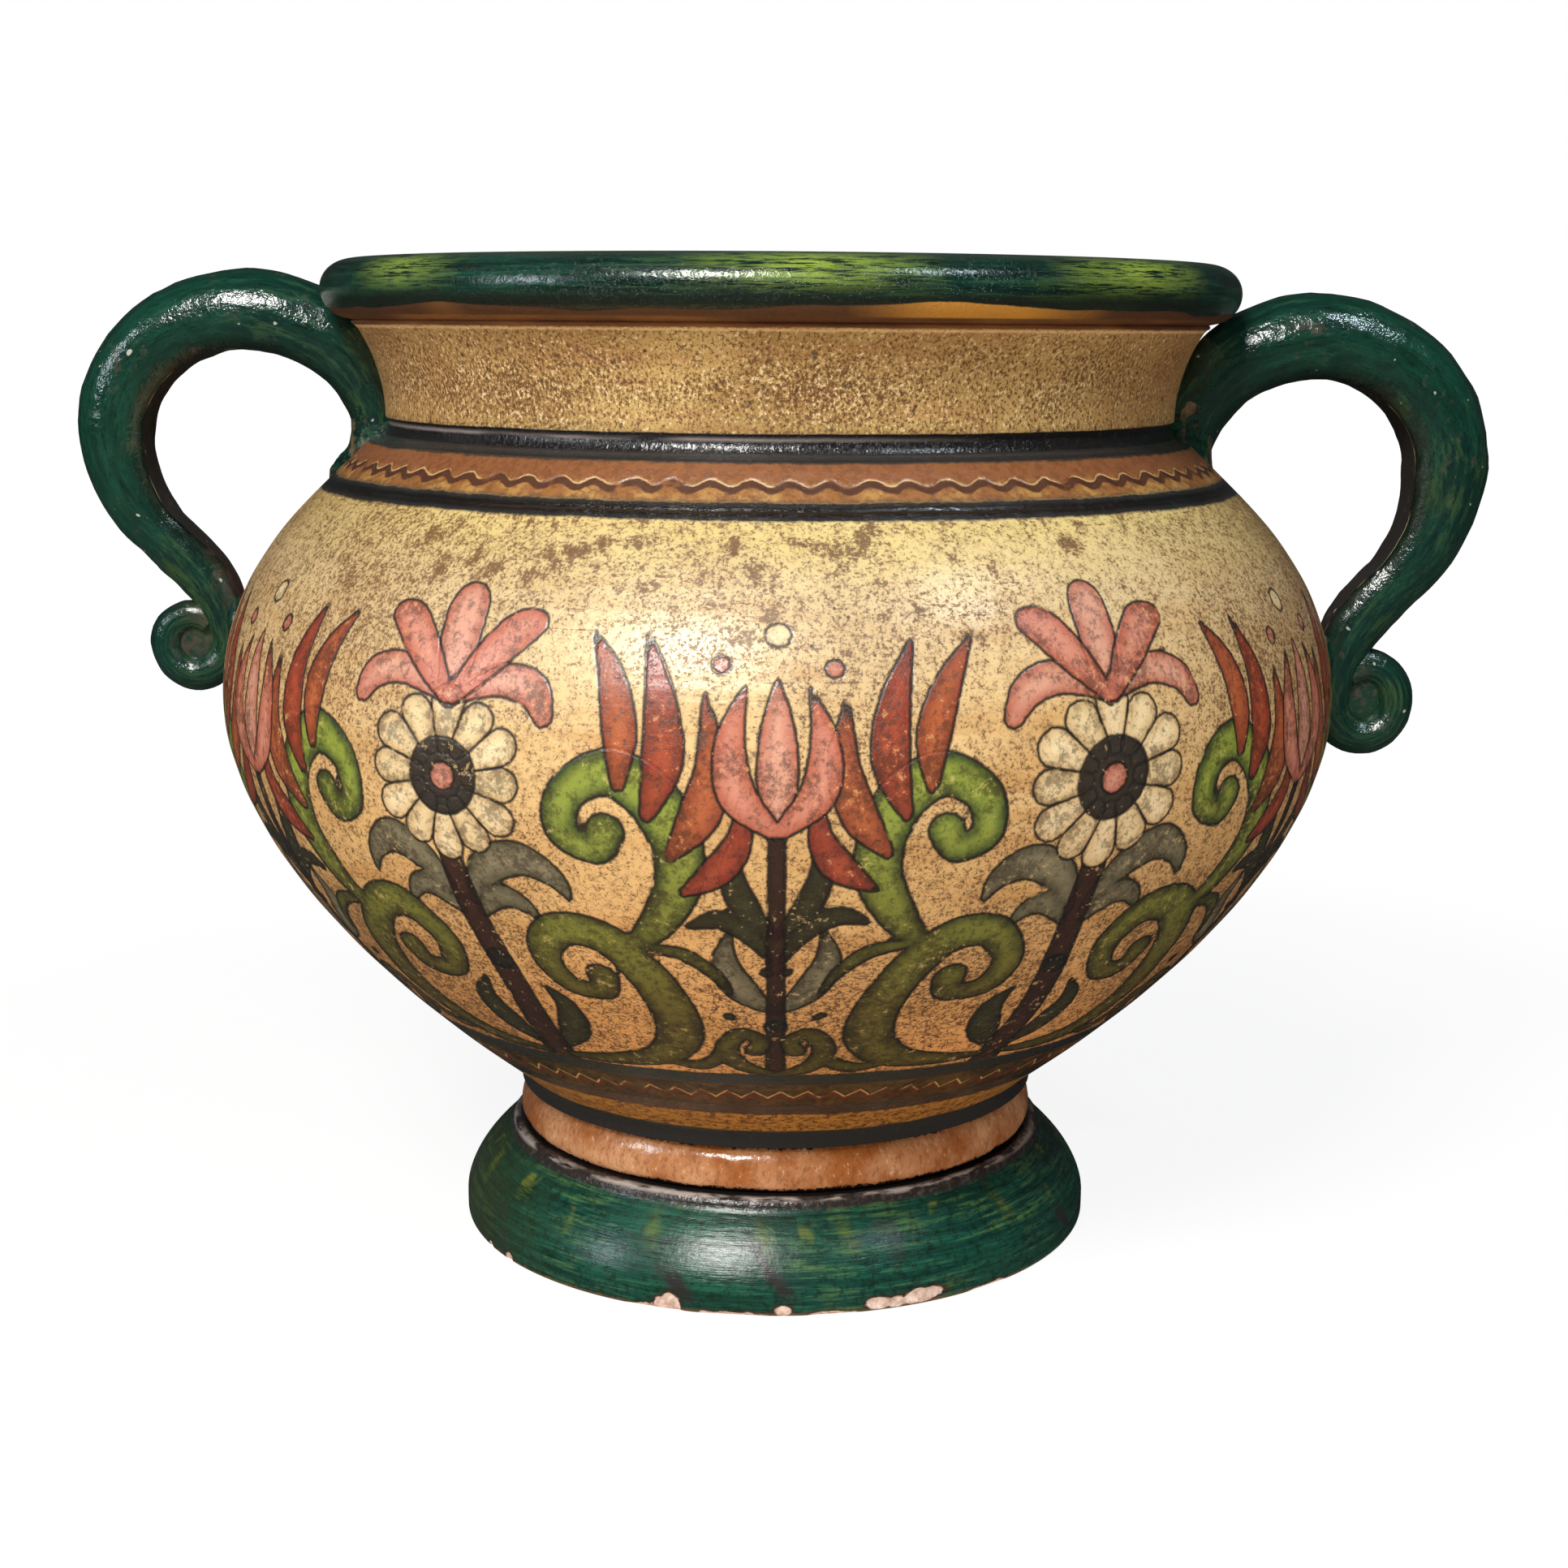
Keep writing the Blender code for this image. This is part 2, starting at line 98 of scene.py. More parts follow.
FLOOR_HEIGHT = 49.5 * MM
FLOOR_CORNER = 20 * MM
TENON_RADIUS = 62 * MM
TENON_FOOT = 34 * MM
RING_BELT = 4 * MM
RING_LOW_ROUND = 2.4 * MM
RING_HIGH_ROUND = 5.6 * MM
FOOT_SHOULDER = 80.5 * MM
FOOT_ROUND = 3.1 * MM
FOOT_EDGE = 6.2 * MM
FOOT_FULLNESS = 1.7
FOOT_STANDING = 14 * MM
FOOT_BORE = TENON_RADIUS + GAP
FOOT_HOLLOW = 29.5 * MM
FOOT_LIP = 1 * MM

# Fineness of the meshes
TURNS = 528
PLAIN_TURNS = 480
SECTORS = 16
FRIEZE_STEP = 1.6 * MM
COIL_SIDES = 40
SHARP_ANGLE = math.radians(50)
SAME_PLACE = 0.002 * MM

# Handles, as rolled and bent by hand: lengths in millimetres
HANDLES = {
    "left": {
        "side": -1, "stand_out": 43.6, "loop_lift": 0.5, "loop_rise": 33.9, "loop_fall": 39, "root_coil": 17,
        "crown_coil": 26, "side_coil": 23.3, "run_coil": 18.2, "scroll_coil": 10.4, "tip_coil": 8.4,
        "scroll_radius": 10, "tip_radius": 7.2, "scroll_width": 1.0, "scroll_lift": 12.7, "pad_lift": 2,
        "root_flare": 10,
    },
    "right": {
        "side": 1, "stand_out": 45.8, "loop_lift": -7, "loop_rise": 36.1, "loop_fall": 43.5, "root_coil": 18,
        "crown_coil": 27.2, "side_coil": 26, "run_coil": 19.2, "scroll_coil": 11.8, "tip_coil": 9.8,
        "scroll_radius": 11.2, "tip_radius": 9.6, "scroll_width": 0.88, "scroll_lift": -2.1, "pad_lift": 9,
        "root_flare": 5.5,
    },
}
COIL_FLAT = 3
ROOT_BEDDING = 5.5
SEAT_PRESS = 2.2
RUN_TURN = math.radians(45)
SCROLL_TURN = math.radians(310)
SCROLL_EYE = 0.93
BUTTON_SHARE = 0.72
BUTTON_SINK = 2.2

# How deep coils and soft clay are pressed into the wall
BURIED = 4 * MM

# Soft clay in millimetres: its smears, how proud they stand at each rise over the shoulder, and its pads
SMEAR_LENGTH = 24
SMEAR_START = 6
SMEAR_RISES = (-3, 0, 2, 6.5, 11.5, 15)
SMEAR_DEPTHS = (-1, 0.8, 1.8, 3.7, 7.4, 30)
PAD_THICKNESS = 3
PAD_MARGIN = 2
PAD_HEIGHT = 12

# Pigments of the frieze, each a layer of brush strokes: the tones of its edge and its heart
PIGMENTS = {
    "grey_leaf": ((0.075, 0.075, 0.042), (0.22, 0.20, 0.12)),
    "dark_leaf": ((0.012, 0.016, 0.008), (0.040, 0.048, 0.018)),
    "stem": ((0.022, 0.007, 0.007), (0.045, 0.012, 0.012)),
    "vine": ((0.035, 0.032, 0.006), (0.13, 0.11, 0.016)),
    "feather_odd": ((0.24, 0.040, 0.018), (0.46, 0.11, 0.035)),
    "feather_even": ((0.20, 0.022, 0.014), (0.38, 0.060, 0.024)),
    "petal_odd": ((0.66, 0.46, 0.22), (0.92, 0.76, 0.46)),
    "petal_even": ((0.60, 0.42, 0.20), (0.86, 0.70, 0.40)),
    "centre": ((0.010, 0.010, 0.010), (0.022, 0.020, 0.019)),
    "pink_odd": ((0.46, 0.13, 0.08), (0.70, 0.34, 0.24)),
    "pink_even": ((0.46, 0.11, 0.06), (0.66, 0.26, 0.18)),
}
VINE_TOP_EDGE = (0.012, 0.048, 0.012)
VINE_TOP_HEART = (0.25, 0.33, 0.040)
FRIEZE_FOOT = 73 * MM
FRIEZE_REACH = (-12, 155)
REPEATS = 6
FAR = 60.0

# Painted bands, from the foot up: heights above the floor in millimetres, and counts round the vase
FOOT_GROOVE = 25.4
RING_EDGES = (31.9, 42.2)
GROOVE_TOP = 47.3
OCHRE_TOP = 56
LOWER_LINES = (71.2, 57.6)
ZIGZAG_LINE = 63
ZIGZAG_RISE = 2.8
ZIGZAGS = 90
ZIGZAG_START = 4  # radians added to the turn, which keep it above zero all round
OLIVE_TOP = 73.7
SHOULDER_LINE = 219.8
LEDGE_FOOT = 221.85
WAVE_LINE = 225.6
WAVE_RISE = 0.75
WAVES = 80
COVE_FOOT = 230.45
COVE_TOP = 237.5
NECK_MIDDLE = 248
FILLET_FOOT = 262.85
UNDER_RIM = 265.4
GREEN_EDGE = 266.4

# Single marks: turns from the front and half-widths in radians, and the drips' heights in millimetres
RIM_LIMES = ((0.06, 0.12), (-0.84, 0.05), (0.78, 0.12), (1.9, 0.2), (2.9, 0.15), (-2.2, 0.2))
FOOT_FLECKS = (-0.33, 0.03, 0.29, 0.9, 1.7, 2.4, -1.2, -2.5)
FOOT_DRIPS = (
    (-0.23, 0.034, 3, 11), (0.093, 0.022, 5, 19), (1.2, 0.03, 4, 12), (-1.3, 0.02, 5, 15), (2.7, 0.03, 4, 14))

# A noise of scale 1 has blotches about this wide, and coils see their streaks at this radius
NOISE_SCALE = 0.6
COIL_ROUND = 13

# Studio, in metres and degrees: each lamp's turn, rise, size and colour, and whether the varnish mirrors it
LAMP_DISTANCE = 1.5
LAMPS = {
    "key": (-20, 41, (0.46, 0.42), (1, 0.98, 0.95), True),
    "fill": (50, 52, (0.17, 0.17), (0.75, 0.90, 1), True),
    "side": (-62, 20, (0.16, 0.4), (0.85, 0.93, 1), True),
    "front": (6, 3, (0.5, 0.24), (1, 0.90, 0.82), False),
}
AIM_HEIGHT = 0.16
FLOOR_SIZE = 30
FLOOR_FADE = (240, 600)  # millimetres from the axis
SENSOR_WIDTH = 36
PHOTO_WIDTH = 1932
PHOTO_SHIFT = 8


# Settings

def paint_colour(name, description, default):
    return FloatVectorProperty(name=name, description=description, subtype="COLOR", size=3, default=default)


class VesselColours(bpy.types.PropertyGroup):
    """Colours of the paint and the clay."""

    cream: paint_colour("Cream", "Ground colour near the shoulder", (0.80, 0.63, 0.34))
    gold: paint_colour("Gold", "Ground colour round the belly's middle", (0.78, 0.51, 0.21))
    # The tan is the ground's own tone brightened as painted light, standing for light on the belly's
    # downward-facing underside.
    tan: paint_colour("Tan", "Ground colour low on the belly", (0.84, 0.40, 0.125))
    stipple: paint_colour("Stipple", "Brown sponged over the ground", (0.135, 0.060, 0.018))
    orange: paint_colour("Orange", "Ledge under the neck", (0.27, 0.100, 0.035))
    black: paint_colour("Black", "Lines and grooves", (0.009, 0.008, 0.008))
    green: paint_colour("Green", "Foot, rim and handles", (0.008, 0.080, 0.048))
    lime: paint_colour("Lime", "Yellow-green streaks in the green", (0.13, 0.22, 0.02))
    clay: paint_colour("Clay", "Bare terracotta inside and underneath", (0.40, 0.17, 0.08))


def lamp_power(name, description, default):
    return FloatProperty(name=name, description=description, unit="POWER", default=default)


class StudioSettings(bpy.types.PropertyGroup):
    """Camera and lamps."""

    distance: FloatProperty(
        name="Distance", description="From the vase's axis to the camera, along the floor", unit="LENGTH",
        default=0.68817)
    height: FloatProperty(
        name="Height", description="Camera above the floor", unit="LENGTH", default=0.2638)
    pitch: FloatProperty(
        name="Pitch", description="How far the camera looks down", subtype="ANGLE",
        default=math.radians(11.11))
    roll: FloatProperty(
        name="Roll", description="Camera's lean", subtype="ANGLE", default=math.radians(0.43))
    lens: FloatProperty(
        name="Lens", description="Focal length on a 36 mm sensor, in millimetres", default=53.83)
    key_power: lamp_power("Key", "Window lamp from the front left", 18.5)
    fill_power: lamp_power("Fill", "Lamp from the right", 4)
    side_power: lamp_power("Side", "Narrow lamp from the left", 3)
    front_power: lamp_power("Front", "Low lamp in front", 3.2)
    sky: FloatProperty(name="Sky", description="Strength of the even light from all sides", default=0.13)


# Shader arithmetic

class Socket:
    """A shader value that takes part in Python arithmetic: each operation adds a Math node."""

    def __init__(self, look, link):
        self.look = look
        self.link = link

    def _with(self, operation, *values):
        return self.look.node("ShaderNodeMath", {"operation": operation}, dict(enumerate(values)))

    def __add__(self, other):
        return self._with("ADD", self, other)

    def __radd__(self, other):
        return self._with("ADD", other, self)

    def __sub__(self, other):
        return self._with("SUBTRACT", self, other)

    def __rsub__(self, other):
        return self._with("SUBTRACT", other, self)

    def __mul__(self, other):
        return self._with("MULTIPLY", self, other)

    def __rmul__(self, other):
        return self._with("MULTIPLY", other, self)

    def __abs__(self):
        return self._with("ABSOLUTE", self)

    def sine(self):
        return self._with("SINE", self)

    def least(self, other):
        return self._with("MINIMUM", self, other)

    def most(self, other):
        return self._with("MAXIMUM", self, other)

    def ramp(self, low, high):
        """0 at low, 1 at high, and held outside them."""
        return self.look.node(
            "ShaderNodeMapRange", {"clamp": True},
            {"Value": self, "From Min": low, "From Max": high})

    def above(self, line, soft):
        """1 above a line and 0 below it, with a soft edge."""
        return self.ramp(line - soft, line + soft)

    def below(self, line, soft):
        return self.ramp(line + soft, line - soft)

    def near(self, line, half, soft):
        """1 within that half-width of a line, with a soft edge outside it."""
        return abs(self - line).ramp(half + soft, half - soft)


class Nodes:
    """A node tree under construction."""

    def __init__(self, tree):
        self.tree = tree

    def node(self, kind, settings=None, values=None, output=0):
        """Add a node: its settings first, then its sockets' values or links."""
        made = self.tree.nodes.new(kind)
        for name, value in (settings or {}).items():
            setattr(made, name, value)
        for name, value in (values or {}).items():
            self.feed(self.pick(made.inputs, name), value)
        return Socket(self, self.pick(made.outputs, output))

    def pick(self, sockets, name):
        """A socket by its number, or the one in use among those that share a name."""
        if isinstance(name, int):
            return sockets[name]
        return next(socket for socket in sockets if socket.name == name and socket.enabled)

    def feed(self, socket, value):
        if isinstance(value, Socket):
            self.tree.links.new(value.link, socket)
        elif hasattr(value, "__len__") and socket.type == "RGBA":
            socket.default_value = (*value, 1)
        else:
            socket.default_value = value


class Look(Nodes):
    """A procedural material under construction: its place in millimetres, and its colour so far."""

    def __init__(self, name):
        self.material = bpy.data.materials.new(name)
        self.material.use_nodes = True
        super().__init__(self.material.node_tree)
        self.surface = self.tree.nodes["Principled BSDF"]
        place = self.node("ShaderNodeTexCoord", output="Object")
        self.place = self.node("ShaderNodeVectorMath", {"operation": "SCALE"}, {0: place, "Scale": 1 / MM})
        self.x, self.y, self.height = (
            self.node("ShaderNodeSeparateXYZ", values={0: self.place}, output=axis) for axis in range(3))
        self.colour = None

    def stretch(self, scale):
        return self.node("ShaderNodeVectorMath", {"operation": "MULTIPLY"}, {0: self.place, 1: scale})

    def noise(self, size, detail, rough, stretch=None, place=None):
        """Cloudy noise about 0.5, whose blotches are about size millimetres wide."""
        if place is None:
            place = self.stretch(stretch) if stretch else self.place
        return self.node(
            "ShaderNodeTexNoise", values={
                "Vector": place, "Scale": NOISE_SCALE / size, "Detail": detail, "Roughness": rough})

    def attribute(self, name):
        return self.node("ShaderNodeAttribute", {"attribute_name": name}, output="Fac")

    def mix(self, share, first, second, kind="RGBA"):
        return self.node(
            "ShaderNodeMix", {"data_type": kind}, {"Factor": share, "A": first, "B": second}, output="Result")

    def paint(self, share, tone):
        """Lay a tone over the colour so far."""
        self.colour = self.mix(share, self.colour, tone)

    def set(self, **values):
        for name, value in values.items():
            self.feed(self.surface.inputs[name.replace("_", " ")], value)

    def varnish(self, rough, gloss, relief):
        """Finish the painted surface: its roughness, its gloss and its relief in millimetres."""
        bump = self.node("ShaderNodeBump", values={"Distance": MM, "Height": relief}, output="Normal")
        self.set(Base_Color=self.colour, Roughness=rough, Specular_IOR_Level=gloss, Normal=bump)
        return self.material


# Curves

def mix(first, second, share):
    return first + (second - first) * share


def power_curve(start, end, fullness, count):
    """Points from start, where the wall is upright, to end, leaving the upright ever faster."""
    points = []
    for step in range(count + 1):
        share = step / count
        points.append((mix(start[0], end[0], share**fullness), mix(start[1], end[1], share)))
    return points


def arc(centre, radius_x, radius_z, first, last, count):
    """Points on an ellipse, between two angles in radians."""
    points = []
    for step in range(count + 1):
        angle = first + (last - first) * step / count
        points.append((centre[0] + radius_x * math.cos(angle), centre[1] + radius_z * math.sin(angle)))
    return points


def even(points, spacing):
    """The same line with its points spaced evenly along it."""
    line = np.array(points, float)
    steps = np.hypot(*np.diff(line, axis=0).T)
    run = np.concatenate(([0], np.cumsum(steps)))
    wanted = np.linspace(0, run[-1], max(2, round(run[-1] / spacing) + 1))
    return list(zip(np.interp(wanted, run, line[:, 0]), np.interp(wanted, run, line[:, 1])))


def offset(points, distance):
    """The profile moved sideways, to its left as it runs."""
    moved = []
    for index, point in enumerate(points):
        along = Vector(points[min(index + 1, len(points) - 1)]) - Vector(points[max(index - 1, 0)])
        along.normalize()
        moved.append((point[0] - along.y * distance, point[1] + along.x * distance))
    return moved


def lower_belly(spacing):
    """The bowl's outside from the waist's cove up to its widest line."""
    centre = (WAIST_RADIUS + WAIST_COVE, COVE_BASE)
    cove = arc(centre, WAIST_COVE, WAIST_COVE, math.pi, math.pi - WAIST_COVE_TURN, 6)
    curve = power_curve((BELLY_RADIUS, BELLY_HEIGHT), cove[-1], BELLY_LOWER_FULLNESS, 200)
    return cove[:-1] + even(curve[::-1], spacing)


def upper_belly(spacing):
    return even(power_curve((BELLY_RADIUS, BELLY_HEIGHT), SHOULDER, BELLY_UPPER_FULLNESS, 120), spacing)


def ledge_cove(first, last, count):
    """The hollow band above the ledge, between two turns counted from the ledge."""
    centre = (LEDGE[0], LEDGE[1] + COVE_RADIUS)
    return arc(centre, COVE_RADIUS, COVE_RADIUS, -math.pi / 2 - first, -math.pi / 2 - last, count)


def bowl_outside(spacing):
    ledge = even([SHOULDER, LEDGE], 3 * MM)
    return lower_belly(spacing) + upper_belly(spacing)[1:] + ledge[1:] + ledge_cove(0, JOINT_TURN, 5)[1:]


def collar_outside():
    """The collar's outside, from the joint in the cove up to the bead under the rim."""
    bead = arc((NECK_TOP[0] - 0.1 * MM, NECK_TOP[1]), 0.8 * MM, 0.7 * MM, -math.pi / 2, math.pi / 3, 4)
    return ledge_cove(JOINT_TURN, math.pi / 2, 5) + power_curve(NECK, NECK_TOP, NECK_FULLNESS, 16)[:-1] + bead


def rim_outside(last, count):
    return arc(RIM_MIDDLE, RIM_THICKNESS / 2, RIM_DEPTH / 2, RIM_START, last, count)


def lap(joint):
    """The step in which the collar sits on the bowl's mouth, from the outside in."""
    step = MOUTH_BORE + LAP_WIDTH
    return [(step, joint), (step, joint + LAP_DEPTH), (MOUTH_BORE, joint + LAP_DEPTH)]


def vessel_outside():
    """The whole vessel's outside, which coils and soft clay are pressed against."""
    return bowl_outside(3 * MM) + collar_outside()[1:] + rim_outside(math.pi / 2, 14)


def outside_radius(height):
    """The vessel's outer radius at a height, from its waist to its widest line and on to its neck."""
    line = np.array(bowl_outside(2 * MM) + collar_outside()[1:])
    return np.interp(height, line[:, 1], line[:, 0])


# Meshes

def coordinates(mesh):
    places = np.zeros(len(mesh.vertices) * 3)
    mesh.vertices.foreach_get("co", places)
    return places.reshape(-1, 3)


def from_axis(places):
    return np.hypot(places[:, 0], places[:, 1])


def hold(mesh, name, values):
    """Keep one number per vertex on the mesh, for its material."""
    layer = mesh.attributes.new(name, "FLOAT", "POINT")
    layer.data.foreach_set("value", np.asarray(values, np.float32))


def throw(places):
    """Where a vertex goes on a vessel that was thrown by hand: a little out of round, with finger rings."""
    angle = np.arctan2(places[:, 1], places[:, 0])
    height = places[:, 2] / MM
    out = 0.26 * np.sin(2 * angle + 0.6) + 0.16 * np.sin(3 * angle + 2.1 + height / 70)
    out += 0.10 * np.sin(5 * angle + height / 31) + 0.05 * np.sin(height / 2.3 + 0.8 * np.sin(angle))
    share = 1 + out * MM / np.maximum(from_axis(places), 20 * MM)
    return np.column_stack((places[:, 0] * share, places[:, 1] * share, places[:, 2]))


def finish_piece(name, shape, look, node):
    """Turn a bmesh into a piece that rides with the vase and stands for its CAD node."""
    mesh = bpy.data.meshes.new(name)
    shape.to_mesh(mesh)
    shape.free()
    mesh.shade_smooth()
    mesh.set_sharp_from_angle(angle=SHARP_ANGLE)
    mesh.materials.append(look)
    piece = bpy.data.objects.new(name, mesh)
    bpy.context.scene.collection.objects.link(piece)
    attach(piece, "root")
    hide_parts(node)
    return piece


def spun(profile, turns):
    """A closed profile, or one that ends on the axis, spun round it."""
    shape = bmesh.new()
    corners = [shape.verts.new((radius, 0, height)) for radius, height in profile]
    edges = [shape.edges.new(pair) for pair in zip(corners, corners[1:])]
    if profile[0][0] > 0:
        edges.append(shape.edges.new((corners[-1], corners[0])))
    turned = math.tau / SECTORS
    bmesh.ops.spin(
        shape, geom=corners + edges, cent=(0, 0, 0), axis=(0, 0, 1), angle=turned, steps=turns // SECTORS)
    while turned < math.pi * 1.01:
        whole = shape.verts[:] + shape.edges[:] + shape.faces[:]
        copy = bmesh.ops.duplicate(shape, geom=whole)["geom"]
        copy = [part for part in copy if isinstance(part, bmesh.types.BMVert)]
        bmesh.ops.rotate(shape, verts=copy, cent=(0, 0, 0), matrix=Matrix.Rotation(turned, 3, "Z"))
        turned *= 2
    bmesh.ops.remove_doubles(shape, verts=shape.verts, dist=SAME_PLACE)
    bmesh.ops.recalc_face_normals(shape, faces=shape.faces)
    return shape


def shape_by_hand(piece):
    mesh = piece.data
    mesh.vertices.foreach_set("co", throw(coordinates(mesh)).ravel())
    mesh.update()


# The frieze: brush strokes, each a line of (across, up, half-width) in millimetres

def brush(points, count=24):
    """A smooth stroke through given points (Catmull-Rom)."""
    given = np.array([points[0], *points, points[-1]], float)
    steps = max(2, count // (len(points) - 1))
    stroke = []
    for a, b, c, d in zip(given, given[1:], given[2:], given[3:]):
        square = 2 * a - 5 * b + 4 * c - d
        cube = 3 * b - a - 3 * c + d
        for step in range(steps):
            t = step / steps
            stroke.append(0.5 * (2 * b + (c - a) * t + square * t**2 + cube * t**3))
    stroke.append(given[-1])
    return np.array(stroke)


def spot(x, y, radius):
    return np.array([(x, y, radius), (x + 0.01, y, radius)])


def petals(centre, count, inner, outer, width, first=0):
    """Every second petal of a round flower, as short strokes."""
    strokes = []
    for number in range(first, count, 2):
        angle = math.tau * number / count + math.pi / 2
        heading = np.array((math.cos(angle), math.sin(angle)))
        strokes.append(np.array([
            (*(heading * inner + centre), width * 0.55), (*(heading * outer + centre), width)]))
    return strokes


def blossom_motif():
    """The rosette on its stem between two scrolls, for the right half of a repeat."""
    heart = np.array((0, 101))
    return {
        "stem": [brush([(0, -4, 4.4), (0, 30, 4), (0, 60, 3.6), (0, 90, 3.4)])],
        "vine": [
            brush([(3, 4, 1.2), (18, 5, 3), (32, 11, 4.4), (42, 26, 5.6), (43.5, 45, 6.2), (36, 59, 6),
                   (24, 61, 5.2), (15.5, 51, 4.4), (18.5, 40, 3.8), (27.5, 38.5, 3.4), (30, 45, 4.4)], 60),
            brush([(40, 57, 1.5), (50, 66, 4.2), (58, 82, 5.8), (55, 98, 6.2), (44, 106, 5.4),
                   (33.5, 101, 4.6), (32, 91, 4), (39, 87, 3.6), (42, 92, 4.4)], 50),
            brush([(27, 8, 1), (37, 5, 2.2), (45, 10, 1.8), (49, 19, 0.4)]),
            brush([(45, 58, 1), (55, 56, 2.4), (60, 49, 1.8), (61, 41, 0.4)]),
        ],
        "dark_leaf": [
            brush([(3, 8, 0.8), (10, 18, 4.2), (13, 29, 3.2), (9, 38, 0.3)]),
            brush([(58, 66, 0.8), (66, 68, 2.8), (72, 62, 2.2), (74, 53, 0.3)]),
            spot(57, 32, 1.5), spot(72, 50, 1.5),
        ],
        "grey_leaf": [
            brush([(2, 66, 1), (9, 77, 4.2), (19, 82, 4.8), (27, 78, 3), (30, 71, 0.5)]),
            brush([(3, 62, 1), (10, 69, 3.4), (16, 68, 2.6), (20, 62, 0.3)]),
        ],
        "feather_odd": [
            brush([(56, 86, 1.5), (64, 96, 4.6), (68, 108, 3.8), (66, 124, 0.3)]),
            brush([(46, 103, 1.5), (46, 115, 4.2), (42, 127, 3.2), (35, 138, 0.3)]),
        ],
        "feather_even": [
            brush([(52, 96, 1.5), (56.5, 109, 4.8), (55, 123, 3.6), (49, 138, 0.3)]),
            brush([(58, 76, 1), (67, 82, 3.8), (73, 90, 3), (75, 102, 0.3)]),
        ],
        "petal_odd": petals(heart, 12, 8, 18, 4.6),
        "petal_even": petals(heart, 12, 8, 17, 4.4, first=1),
        "centre": [spot(*heart, 9.8), spot(0, 46, 3.6)],
        "pink_odd": [
            spot(*heart, 3.6), brush([(0, 120, 2), (0, 131, 4.8), (0, 142, 5.6), (0, 145, 5)]),
            brush([(2, 121, 1.5), (13, 126, 3.8), (22, 124, 4), (26, 118, 2.4)]),
        ],
        "pink_even": [brush([(1, 121, 2), (8, 130, 4.2), (15, 138, 4.8), (19, 140, 3.4)])],
    }


def bud_motif():
    """The slim plant between two repeats, for its right half."""
    return {
        "stem": [brush([(0, -4, 2.4), (0, 40, 2.1), (0, 80, 1.9), (0, 92, 1.8)])],
        "vine": [
            brush([(0, 2, 1.2), (8, 6, 2.6), (12.5, 15, 3), (9, 24, 2.6), (3.8, 21, 2.2), (5, 15.5, 2.6)]),
        ],
        "grey_leaf": [brush([(0, 34, 0.8), (8, 43, 4), (12.5, 54, 3.2), (11, 65, 0.3)])],
        "dark_leaf": [brush([(0, 62, 0.8), (7, 71, 3.2), (10.5, 81, 2.6), (9, 92, 0.3)])],
        "pink_odd": [brush([(0, 92, 2.4), (0, 104, 4.8), (0, 117, 3.6), (0, 128, 0.4)]), spot(13, 131, 2.2)],
        "pink_even": [brush([(1, 92, 2), (9.5, 101, 4.4), (11, 113, 3.4), (7.5, 126, 0.4)])],
        "petal_odd": [spot(0, 139, 3)],
        "petal_even": [],
        "centre": [spot(0, 28, 2.8)],
    }


def nearest(places, strokes):
    """Signed distance from each place to the nearest edge of the strokes, negative inside them."""
    best = np.full(len(places), FAR)
    for stroke in strokes:
        for start, end in zip(stroke, stroke[1:]):
            along = end[:2] - start[:2]
            share = np.clip((places - start[:2]) @ along / (along @ along), 0, 1)
            gap = np.hypot(*(places - start[:2] - share[:, None] * along).T)
            best = np.minimum(best, gap - mix(start[2], end[2], share))
    return best


def draw_frieze(mesh):
    """Lay the frieze's pigments on the bowl: one signed distance per pigment and vertex."""
    places = coordinates(mesh)
    radius = from_axis(places) / MM
    angle = np.arctan2(places[:, 0], -places[:, 1])
    height = places[:, 2]
    line = np.array(bowl_outside(1 * MM))
    run = np.concatenate(([0], np.cumsum(np.hypot(*np.diff(line, axis=0).T))))
    up = (np.interp(height, line[:, 1], run) - np.interp(FRIEZE_FOOT, line[:, 1], run)) / MM
    on_outside = radius * MM > np.interp(height, line[:, 1], line[:, 0]) - 3 * MM
    wander = 0.9 * np.sin(7 * angle + up / 17) + 0.6 * np.sin(11 * angle + 1.7 - up / 11)
    drift = 0.8 * np.sin(9 * angle + 0.4 + up / 23) + 0.5 * np.sin(4 * angle + 2.2)
    step = math.tau / REPEATS
    turn = angle % step - step / 2
    to_blossom = np.column_stack((np.abs(turn * radius + wander), up + drift))
    to_bud = np.column_stack((np.abs((step / 2 - np.abs(turn)) * radius), up + drift))
    near = on_outside & (up > FRIEZE_REACH[0]) & (up < FRIEZE_REACH[1])
    for pigment in PIGMENTS:
        distance = np.full(len(places), FAR)
        for motif, spots in ((blossom_motif(), to_blossom), (bud_motif(), to_bud)):
            strokes = motif.get(pigment, [])
            if strokes:
                distance[near] = np.minimum(distance[near], nearest(spots[near], strokes))
        hold(mesh, pigment, distance)
    hold(mesh, "inside", np.where(on_outside, 0, 1))


# Materials

